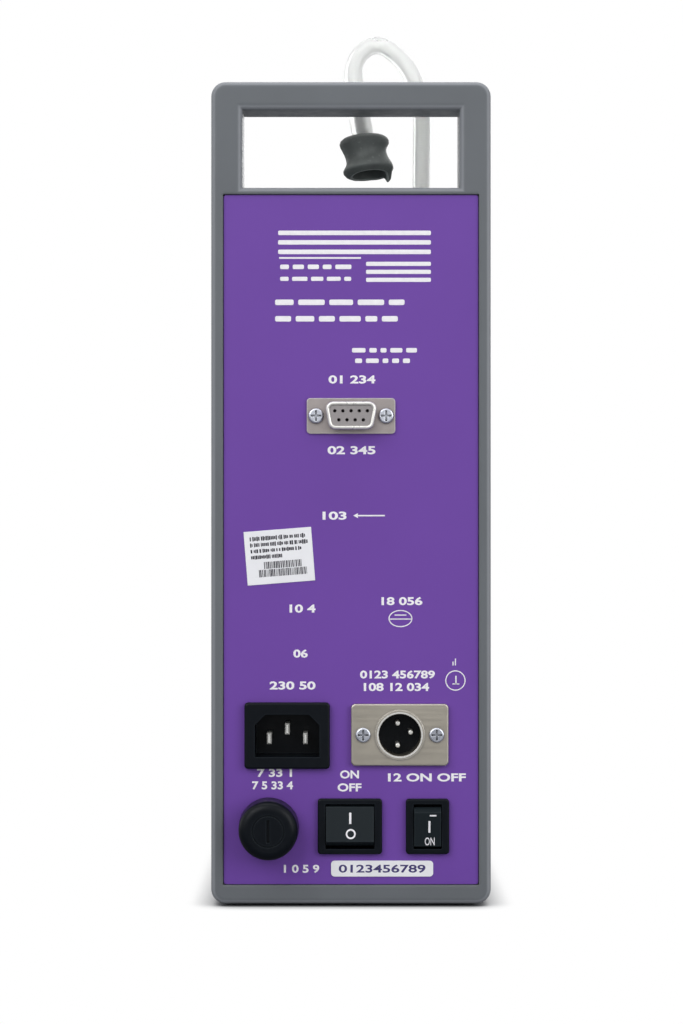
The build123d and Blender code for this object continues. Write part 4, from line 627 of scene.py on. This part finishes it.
# Rubber adaptor: a soft bobbin round the hose's end, uneven as the photograph shows it, with an
# open mouth below and a small tab on its lip. A drop is along the hose from the bobbin's top and a
# radius is across it, both in millimetres.
BOBBIN_TOP = 2.5 * MM
BOBBIN_PROFILE = [
    (-2.6, 3.2), (-2.7, 3.8), (-2.65, 4.9), (-2.45, 6.3), (-2.0, 7.7), (-1.2, 8.75), (-0.2, 9.15),
    (0.8, 9.0), (1.9, 8.5), (3.1, 7.95), (4.3, 7.65), (5.4, 7.6), (6.5, 7.8), (7.6, 8.3),
    (8.6, 8.9), (9.6, 9.3), (10.5, 9.25), (11.2, 8.7), (11.7, 8.0), (12.0, 7.4), (12.3, 7.0),
    (12.4, 6.75), (12.3, 6.4), (11.9, 6.25), (10.6, 6.1), (8.0, 6.0), (6.0, 5.6), (5.9, 4.6),
    (5.9, 1.3), (4.2, 1.3), (2.5, 1.3), (2.45, 3.2), (0.0, 3.2),
]

# The profile's first point on the lip, its stretches with a painted highlight, and its first point
# inside the mouth
LIP_START = 18
LIP_HIGHLIGHT = range(20, 23)
INNER_START = 24

# The mouth leans, and its rim is lifted on the far side and drawn out into a tab at the right; each
# sets in between two drops
LEAN_DROPS = (8.6, 12.0)
MOUTH_LEAN = 0.12
RIM_DROPS = (10.4, 12.2)
FAR_LIFT = 0.8 * MM
FAR_ANGLE = radians(102)
FAR_WIDTH = radians(42)
TAB_ANGLE = radians(12)
TAB_WIDTH = radians(15)
TAB_LENGTH = 2.6 * MM

# Sideways tilt in degrees at each drop, and creases: drop, angle and half width in radians
BOBBIN_TILTS = [(-2.6, 3.0), (0.5, 3.6), (5.2, -7.0), (10.2, 1.8), (13.5, 1.2)]
CREASES = [(1.9, radians(212), 0.45), (7.6, radians(225), 0.4)]
CREASE_DEPTH = 0.22 * MM
CREASE_HALF_HEIGHT = 0.5


def interpolated(table, value):
    """Straight-line value between the rows of a table."""
    for (low, first), (high, second) in zip(table, table[1:]):
        if value <= high:
            share = min(max((value - low) / (high - low), 0.0), 1.0)
            return first + share * (second - first)
    return table[-1][1]


def swing(angle, middle):
    """The angle from a middle one, half a turn at most either way."""
    return (angle - middle + pi) % (2 * pi) - pi


def bell(offset, width):
    return exp(-((offset / width) ** 2))


def add_bobbin(shape, around=96):
    end, before = (Vector(point) * MM for point in (HOSE_ROUTE[-1], HOSE_ROUTE[-2]))
    up = (before - end).normalized()
    right = Vector((up.z, 0, -up.x)).normalized()
    away = up.cross(right)
    top = end + BOBBIN_TOP * up
    loops = []
    for step in range(around):
        angle = 2 * pi * step / around
        outward = cos(angle) * right + sin(angle) * away
        rim_drop = TAB_LENGTH * bell(swing(angle, TAB_ANGLE), TAB_WIDTH)
        rim_drop -= FAR_LIFT * bell(swing(angle, FAR_ANGLE), FAR_WIDTH)
        loop = []
        for index, (drop, radius) in enumerate(BOBBIN_PROFILE):
            sunk, reach = drop * MM, radius * MM
            if index < INNER_START:
                sunk += reach * cos(angle) * tan(radians(interpolated(BOBBIN_TILTS, drop)))
                for crease_drop, crease_angle, crease_width in CREASES:
                    crease = CREASE_DEPTH * bell(drop - crease_drop, CREASE_HALF_HEIGHT)
                    reach -= crease * bell(swing(angle, crease_angle), crease_width)
            if LIP_START <= index <= INNER_START:
                sunk += rim_drop * smooth_step(drop, *RIM_DROPS)
            sunk += MOUTH_LEAN * reach * sin(angle) * smooth_step(drop, *LEAN_DROPS)
            loop.append(shape.verts.new(top + reach * outward - sunk * up))
        loops.append(loop)
    # Faces in the lip's highlight stretches take the painted highlight
    for number, face in enumerate(join_loops(shape, loops)):
        face.material_index = 1 if number % len(BOBBIN_PROFILE) in LIP_HIGHLIGHT else 0


bobbin_shape = bmesh.new()
add_bobbin(bobbin_shape)
bobbin = make_piece(
    bobbin_shape, "rubber_adaptor", adaptor_rubber, smooth=True
)
bobbin.data.materials.append(adaptor_lip_highlight)
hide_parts("hose_adaptor")

# Rolled rim round the mouth of the serial socket's shell, in millimetres and degrees: the middle
# and the two end angles of each corner, and the rim's section, outward and back from the front
RIM_MIDDLE_Z = 175.3
RIM_CORNERS = [
    (6.335, 2.3, -10, 90),
    (-6.335, 2.3, 90, 190),
    (-5.525, -2.3, 190, 270),
    (5.525, -2.3, 270, 350),
]
RIM_CORNER_RADIUS = 1.9
RIM_CORNER_STEPS = 8
RIM_PROFILE = [
    (-0.56, 0.8), (-0.52, 0.1), (-0.3, -0.2), (0.1, -0.3), (0.5, -0.12), (0.72, 0.3), (0.66, 0.75),
    (0.3, 1.05), (-0.05, 1.1),
]


def add_rim(shape):
    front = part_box("serial_shell")[0].y
    loops = []
    for outward, back in RIM_PROFILE:
        reach = RIM_CORNER_RADIUS + outward
        loop = []
        for middle_x, middle_z, first_angle, last_angle in RIM_CORNERS:
            for step in range(RIM_CORNER_STEPS + 1):
                turned = (last_angle - first_angle) * step / RIM_CORNER_STEPS
                angle = radians(first_angle + turned)
                x = (middle_x + reach * cos(angle)) * MM
                z = (RIM_MIDDLE_Z + middle_z + reach * sin(angle)) * MM
                loop.append(shape.verts.new((x, front + back * MM, z)))
        loops.append(loop)
    join_loops(shape, loops)


rim_shape = bmesh.new()
add_rim(rim_shape)
# The rim takes the bright contact metal, lighter than the shell's zinc, as a painted highlight
make_piece(rim_shape, "serial_rim", contact, smooth=True)

# Painted highlight on the low-voltage socket's collar: a thin ring of bright metal along its edge
COLLAR_RADIUS = 8.2 * MM
COLLAR_HIGHLIGHT_WIDTH = 0.5 * MM
collar_shape = bmesh.new()
add_ring(
    collar_shape, *centre("dc_socket_insert"), COLLAR_RADIUS, COLLAR_HIGHLIGHT_WIDTH,
    surface_of("dc_socket_flange", REAR), REAR, count=72,
)
make_piece(collar_shape, "socket_collar_highlight", contact)

# Print on the connector panel, in the photograph's pixels: stripes and lines of short bars with
# their left and right ends, middle and height, and numbers with their middle and width
panel_surface = flat_at(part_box("rear_panel")[0].y)
STRIPES = [
    (278, 431, 232.5, 4.6),
    (278, 431, 242.0, 4.6),
    (278, 431, 251.5, 4.6),
    (366, 431, 263.5, 4.2),
    (366, 431, 271.5, 4.2),
    (366, 431, 279.5, 4.2),
]
RULE = (279, 361, 257.6, 1.8)
TEXT_LINES = [
    (280, 361, 266.5, 4.6),
    (280, 358, 278.5, 4.2),
    (275, 408, 302.0, 5.6),
    (275, 409, 318.5, 5.6),
    (352, 420, 350.0, 4.6),
    (355, 420, 360.5, 4.6),
]
CAPTION_HEIGHT = 8.3
CAPTIONS = [
    ("01 234", 352.0, 379.2, 47.0),
    ("02 345", 351.5, 450.0, 48.0),
    ("103", 334.5, 515.5, 24.0),
    ("10 4", 302.5, 608.5, 26.0),
    ("18 056", 402.0, 601.0, 41.0),
    ("06", 300.5, 653.5, 14.5),
    ("230 50", 292.5, 685.5, 46.0),
    ("0123 456789", 397.5, 674.5, 75.0),
    ("108 12 034", 396.5, 687.0, 65.5),
    ("7 33 1", 274.5, 773.0, 35.0),
    ("7 5 33 4", 272.5, 785.5, 41.0),
    ("12 ON OFF", 427.0, 777.5, 78.0),
    ("ON", 349.5, 774.5, 19.0),
    ("OFF", 349.5, 787.5, 24.0),
    ("1 0 5 9", 301.5, 869.0, 35.5),
]
WORD_SHARES = (0.16, 0.11, 0.2, 0.09, 0.14, 0.18, 0.12)
WORD_GAP = 0.8
FIRST_SEED = 3
STRIPE_ROUNDING = 0.3


def stripe(shape, left, right, middle, height):
    width = photo_length(right - left)
    tall = photo_length(height)
    radius = STRIPE_ROUNDING * min(width, tall)
    outline = bar_outline(photo_x((left + right) / 2), photo_z(middle), width, tall, radius)
    add_plate(shape, outline, panel_surface, REAR)


def words(shape, left, right, middle, height, seed):
    """A line of short bars where the photograph has a line of small print."""
    random = Random(seed)
    start = left
    while start < right - 2 * height:
        length = (right - left) * random.choice(WORD_SHARES)
        end = min(start + length, right)
        stripe(shape, start, end, middle, height)
        start = end + WORD_GAP * height


print_shape = bmesh.new()
for left, right, middle, height in STRIPES:
    stripe(print_shape, left, right, middle, height)
stripe(print_shape, *RULE)
for seed, (left, right, middle, height) in enumerate(TEXT_LINES, FIRST_SEED):
    words(print_shape, left, right, middle, height, seed)
for text, px, py, wide in CAPTIONS:
    add_text(
        print_shape, text, photo_x(px), photo_z(py), photo_length(CAPTION_HEIGHT),
        panel_surface, REAR, BOLD, photo_length(wide),
    )

# Plain symbols, in pixels too: an arrow with its two ends and its row, an oval with bars and a ring
# with strokes, each with its middle and radius, and the widths of their lines
ARROW = (353.0, 385.0, 515.5)
ARROW_HEAD = 5.0
OVAL = (400.5, 618.5, 12.0)
OVAL_FLATTEN = 0.72
DIAL = (455.5, 680.5, 10.2)
LINE = 1.5
FINE = 1.1


def add_triangle(shape, tip, base, half):
    """A triangle from a tip to the middle of its base, in photograph pixels along one row."""
    outline = [
        (photo_x(tip[0]), photo_z(tip[1])),
        (photo_x(base[0]), photo_z(base[1] - half)),
        (photo_x(base[0]), photo_z(base[1] + half)),
    ]
    add_plate(shape, outline, panel_surface, REAR)


stripe(print_shape, ARROW[0] + ARROW_HEAD, ARROW[1], ARROW[2], LINE)
add_triangle(print_shape, (ARROW[0], ARROW[2]), (ARROW[0] + ARROW_HEAD, ARROW[2]), ARROW_HEAD / 2)
for symbol, flatten in ((OVAL, OVAL_FLATTEN), (DIAL, 1.0)):
    add_ring(
        print_shape, photo_x(symbol[0]), photo_z(symbol[1]), photo_length(symbol[2]),
        photo_length(FINE), panel_surface, REAR, flatten,
    )
SYMBOL_STROKES = [
    (OVAL[0] - 6, OVAL[0] + 6, OVAL[1] - 3.5, FINE),
    (OVAL[0] - 11, OVAL[0] + 11, OVAL[1] + 0.5, FINE),
    (DIAL[0] - 0.2, DIAL[0] + 1.2, DIAL[1] - 0.5, 8.5),
    (DIAL[0] - 3.0, DIAL[0] + 4.0, DIAL[1] + 3.5, FINE),
    (DIAL[0] - 0.6, DIAL[0] + 0.6, DIAL[1] - 18.5, 7.0),
    (DIAL[0] - 3.0, DIAL[0] - 1.8, DIAL[1] - 17.0, 4.0),
]
for left_end, right_end, middle, height in SYMBOL_STROKES:
    stripe(print_shape, left_end, right_end, middle, height)
make_piece(print_shape, "panel_print", ink_white)

# Marks on the two rockers: strokes and a ring with their middle in pixels and their real sizes
POWER_STROKE = (350.2, 817.6, 0.8 * MM, 4.0 * MM, 0.12 * MM)
POWER_RING = (350.7, 833.0, 1.78 * MM, 0.6 * MM)
DC_STROKES = [
    (429.2, 826.0, 0.75 * MM, 4.3 * MM, 0.1 * MM),
    (432.8, 814.6, 2.4 * MM, 0.55 * MM, 0.1 * MM),
]
DC_WORD = (429.6, 840.8, 2.9 * MM, 3.5 * MM)


def add_stroke(shape, px, py, width, height, radius, surface):
    outline = bar_outline(photo_x(px), photo_z(py), width, height, radius)
    add_plate(shape, outline, surface, REAR)


power_face = surface_of("power_rocker", REAR)
power_marks = bmesh.new()
add_stroke(power_marks, *POWER_STROKE, power_face)
ring_px, ring_py, ring_radius, ring_stroke = POWER_RING
add_ring(
    power_marks, photo_x(ring_px), photo_z(ring_py), ring_radius, ring_stroke, power_face, REAR
)
make_piece(power_marks, "power_rocker_marks", ink_white, body="power_rocker")

dc_face = surface_of("dc_rocker", REAR)
dc_marks = bmesh.new()
for mark in DC_STROKES:
    add_stroke(dc_marks, *mark, dc_face)
word_px, word_py, word_height, word_width = DC_WORD
add_text(
    dc_marks, "ON", photo_x(word_px), photo_z(word_py), word_height, dc_face, REAR, THIN, word_width
)
make_piece(dc_marks, "dc_rocker_marks", ink_white, body="dc_rocker")

# Number plate
PLATE_CAP = 2.9 * MM
PLATE_PRINT_WIDTH = 31 * MM
plate_print = bmesh.new()
add_text(
    plate_print, "0123456789", *centre("number_plate"), PLATE_CAP,
    flat_at(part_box("number_plate")[0].y), REAR, PLAIN, PLATE_PRINT_WIDTH,
)
make_piece(plate_print, "plate_numbers", ink_violet)

# Sticker print: rows of short bars and two rows of strokes, each with its left and right ends,
# middle and height, in millimetres from the sticker's upper left corner
STICKER_CENTRE = (-25.6 * MM, 125.2 * MM)
STICKER_SIZE = (24.2 * MM, 19.2 * MM)
STICKER_TURN = radians(4.5)
STICKER_LINES = [
    (2.0, 21.8, 2.8, 1.7),
    (2.0, 22.6, 5.0, 1.6),
    (2.0, 20.2, 7.2, 1.5),
    (2.0, 13.2, 9.4, 1.5),
]
STICKER_STROKES = [(6.4, 19.8, 12.5, 2.5), (4.4, 21.8, 15.3, 2.6)]
STICKER_SEED = 11
BAR_LENGTHS = (0.3, 0.62)
BAR_HEIGHTS = (0.6, 1.0)
BAR_GAPS = (0.12, 0.12, 0.14, 0.5)
STROKE_LENGTHS = (0.16, 0.3, 0.42)
STROKE_GAPS = (0.14, 0.22, 0.3)
sticker_surface = flat_at(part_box("label_sticker")[0].y)


def on_sticker(u, v):
    """A place on the sticker, from its upper left corner, in millimetres."""
    x = u * MM - STICKER_SIZE[0] / 2
    z = STICKER_SIZE[1] / 2 - v * MM
    return (
        STICKER_CENTRE[0] + x * cos(STICKER_TURN) - z * sin(STICKER_TURN),
        STICKER_CENTRE[1] + x * sin(STICKER_TURN) + z * cos(STICKER_TURN),
    )


def sticker_bar(shape, left, right, middle, height):
    outline = bar_outline(
        *on_sticker((left + right) / 2, middle), (right - left) * MM, height * MM,
        turn=STICKER_TURN,
    )
    add_plate(shape, outline, sticker_surface, REAR)


sticker_print = bmesh.new()
random = Random(STICKER_SEED)
for left, right, middle, height in STICKER_LINES:
    start = left
    while start < right:
        end = min(start + random.uniform(*BAR_LENGTHS), right)
        sticker_bar(sticker_print, start, end, middle, height * random.uniform(*BAR_HEIGHTS))
        start = end + random.choice(BAR_GAPS)
for left, right, middle, height in STICKER_STROKES:
    start = left
    while start < right:
        end = min(start + random.choice(STROKE_LENGTHS), right)
        sticker_bar(sticker_print, start, end, middle, height)
        start = end + random.choice(STROKE_GAPS)
make_piece(sticker_print, "sticker_print", ink_dark)

# Display: rows of numbers, and a dark border round the glass that is looked through
LCD_ROWS = ("1  3.62  2  8.71", "3  3.28  4  4.75", "5  1.029 6 -0.53", "7  0.00  8 18.4 ")
LCD_CAP = 3.1 * MM
LCD_PITCH = 5.0 * MM
LCD_WIDTH = 52.0 * MM
DIGIT_WIDTH = 1.9 * MM
DOT_DROP = 0.4 * LCD_CAP
DOT_SIZE = (0.5 * MM, 0.5 * MM)
DASH_SIZE = (1.3 * MM, 0.4 * MM)
window_low, window_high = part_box("display_window")
window_x, window_z = centre("display_window")
lcd_surface = flat_at(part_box("lcd_module")[1].y)
digits = bmesh.new()
for row, text in enumerate(LCD_ROWS):
    z = window_z + LCD_PITCH * ((len(LCD_ROWS) - 1) / 2 - row)
    for column, letter in enumerate(text):
        x = window_x - LCD_WIDTH * ((column + 0.5) / len(text) - 0.5)
        if letter == ".":
            add_plate(digits, bar_outline(x, z - DOT_DROP, *DOT_SIZE), lcd_surface, FRONT)
        elif letter == "-":
            add_plate(digits, bar_outline(x, z, *DASH_SIZE), lcd_surface, FRONT)
        elif letter != " ":
            add_text(digits, letter, x, z, LCD_CAP, lcd_surface, FRONT, THIN, DIGIT_WIDTH)
make_piece(digits, "display_digits", ink_dark)

BORDER_WIDTH = 2.6 * MM
BORDER_GAP = 0.1 * MM
BORDER_THICKNESS = 0.05 * MM
border_surface = flat_at(window_low.y - BORDER_THICKNESS)
window_width = window_high.x - window_low.x
window_height = window_high.z - window_low.z
border = bmesh.new()
for side in (-1, 1):
    upright_x = window_x + side * (window_width / 2 - BORDER_WIDTH / 2 - BORDER_GAP)
    level_z = window_z + side * (window_height / 2 - BORDER_WIDTH / 2 - BORDER_GAP)
    level_width = window_width - 2 * (BORDER_WIDTH + BORDER_GAP)
    for outline in (
        bar_outline(upright_x, window_z, BORDER_WIDTH, window_height - 2 * BORDER_GAP),
        bar_outline(window_x, level_z, level_width, BORDER_WIDTH),
    ):
        add_plate(border, outline, border_surface, FRONT, BORDER_THICKNESS)
make_piece(border, "display_border", black_gloss)

# Marks on the keys: stroke, arrow down, arrow up and ring; each rides on its own key
KEY_MARK = 4.2 * MM
KEY_STROKE = (KEY_MARK, 0.9 * MM, 0.2 * MM)
KEY_RING_STROKE = 0.8 * MM
ARROW_TIP_TO_BASE = 1.3
KEYS = range(1, 5)
for index in KEYS:
    node = f"key_{index}"
    x, z = centre(node)
    face = surface_of(node, FRONT)
    mark = bmesh.new()
    if index == 1:
        add_plate(mark, bar_outline(x, z, *KEY_STROKE), face, FRONT)
    elif index == 4:
        add_ring(mark, x, z, KEY_MARK / 2, KEY_RING_STROKE, face, FRONT)
    else:
        tip = KEY_MARK / 2 if index == 3 else -KEY_MARK / 2
        base = z - tip / ARROW_TIP_TO_BASE
        corners = [(x, z + tip), (x - KEY_MARK / 2, base), (x + KEY_MARK / 2, base)]
        add_plate(mark, corners, face, FRONT)
    make_piece(mark, f"{node}_mark", ink_dark, body=node)

# Numbers under the keys, and a rule over the sample bay
KEY_NUMBER_DROP = 10.5 * MM
KEY_NUMBER_CAP = 3.0 * MM
BAY_RULE_RISE = 8.0 * MM
BAY_RULE = (64 * MM, 1.1 * MM, 0.4 * MM)
front_print = bmesh.new()
front_surface = flat_at(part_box("front_panel")[1].y)
for index in KEYS:
    x, z = centre(f"key_{index}")
    number = str(len(KEYS) + 1 - index)
    add_text(
        front_print, number, x, z - KEY_NUMBER_DROP, KEY_NUMBER_CAP, front_surface, FRONT, PLAIN
    )
bay_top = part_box("sample_bay")[1].z
add_plate(
    front_print, bar_outline(0.0, bay_top + BAY_RULE_RISE, *BAY_RULE), front_surface, FRONT
)
make_piece(front_print, "front_print", ink_white)

# Floor, white surroundings and soft light
FLOOR_HALF = 3.0
FLOOR_PAINT = colour(148, 149, 152)
SHADOW_REACH = 12 * MM
SHADOW_RANGE = (0.3, 0.9)
WHITE = (1.0, 1.0, 1.0, 1.0)


def white_floor():
    """A floor that the camera sees as white, but for the shadow close to the object."""
    material = bpy.data.materials.new("pale_floor")
    material.use_nodes = True
    tree = material.node_tree
    shader = tree.nodes["Principled BSDF"]
    shader.inputs["Base Color"].default_value = FLOOR_PAINT
    shader.inputs["Roughness"].default_value = 0.9
    shader.inputs["Specular IOR Level"].default_value = 0.1
    hidden = add_node(tree, "ShaderNodeAmbientOcclusion", Distance=SHADOW_REACH, samples=16)
    clear = spread(tree, hidden.outputs["AO"], 0.0, 1.0, SHADOW_RANGE)
    rays = tree.nodes.new("ShaderNodeLightPath").outputs
    seen = maths(tree, "MAXIMUM", rays["Is Camera Ray"], rays["Is Transmission Ray"])
    glow = add_node(tree, "ShaderNodeEmission", Color=WHITE, Strength=1.0)
    share = maths(tree, "MULTIPLY", seen, clear)
    surface = mixed_shader(tree, share, shader.outputs[0], glow.outputs[0])
    tree.links.new(surface, tree.nodes["Material Output"].inputs["Surface"])
    return material


floor_shape = bmesh.new()
bmesh.ops.create_grid(floor_shape, x_segments=4, y_segments=4, size=FLOOR_HALF)
floor_mesh = bpy.data.meshes.new("floor")
floor_shape.to_mesh(floor_mesh)
floor_shape.free()
floor_mesh.materials.append(white_floor())
floor = bpy.data.objects.new("floor", floor_mesh)
scene.collection.objects.link(floor)

WORLD_LIGHT = (0.9, 0.92, 0.95, 1.0)
WORLD_STRENGTH = 0.4
world = bpy.data.worlds.new("studio")
world.use_nodes = True
scene.world = world
tree = world.node_tree
background = tree.nodes["Background"]
background.inputs["Color"].default_value = WORLD_LIGHT
background.inputs["Strength"].default_value = WORLD_STRENGTH
backdrop = add_node(tree, "ShaderNodeBackground", Color=WHITE, Strength=1.0)
rays = tree.nodes.new("ShaderNodeLightPath").outputs
seen = maths(tree, "ADD", rays["Is Camera Ray"], rays["Is Glossy Ray"], use_clamp=True)
through = maths(tree, "ADD", seen, rays["Is Transmission Ray"], use_clamp=True)
sky = mixed_shader(tree, through, background.outputs[0], backdrop.outputs[0])
tree.links.new(sky, tree.nodes["World Output"].inputs["Surface"])

# Each light's name, place, width and height, and power
OBJECT_MIDDLE = Vector((0.0, 0.0, 0.15))
LIGHTS = [
    ("key_light", (-0.9, -1.4, 1.1), (1.4, 1.2), 15),
    ("fill_light", (1.2, -1.3, 0.6), (1.2, 1.4), 12),
    ("top_light", (0.0, 0.1, 1.8), (1.4, 1.4), 12),
    ("back_light", (0.4, 1.6, 0.8), (1.4, 1.2), 12),
]
for name, place, size, power in LIGHTS:
    light = bpy.data.lights.new(name, "AREA")
    light.shape = "RECTANGLE"
    light.size, light.size_y = size
    light.energy = power
    lamp = bpy.data.objects.new(name, light)
    lamp.location = place
    lamp.rotation_euler = (OBJECT_MIDDLE - Vector(place)).to_track_quat("-Z", "Y").to_euler()
    scene.collection.objects.link(lamp)

# Camera at the photograph's place; the shown height and the panel's distance are in millimetres
CAMERA_PLACE = (-3.4 * MM, -1019.0 * MM, 141.0 * MM)
SENSOR = 36.0
SHOWN_HEIGHT = 365.6
CAMERA_TO_PANEL = 900.0
CLIP_START = 0.05
camera_data = bpy.data.cameras.new("camera")
camera_data.sensor_fit = "VERTICAL"
camera_data.sensor_width = SENSOR
camera_data.sensor_height = SENSOR
camera_data.lens = SENSOR * CAMERA_TO_PANEL / SHOWN_HEIGHT
camera_data.clip_start = CLIP_START
camera = bpy.data.objects.new("camera", camera_data)
camera.location = CAMERA_PLACE
camera.rotation_euler = (pi / 2, 0.0, 0.0)
scene.collection.objects.link(camera)
scene.camera = camera
scene.view_settings.view_transform = "Standard"
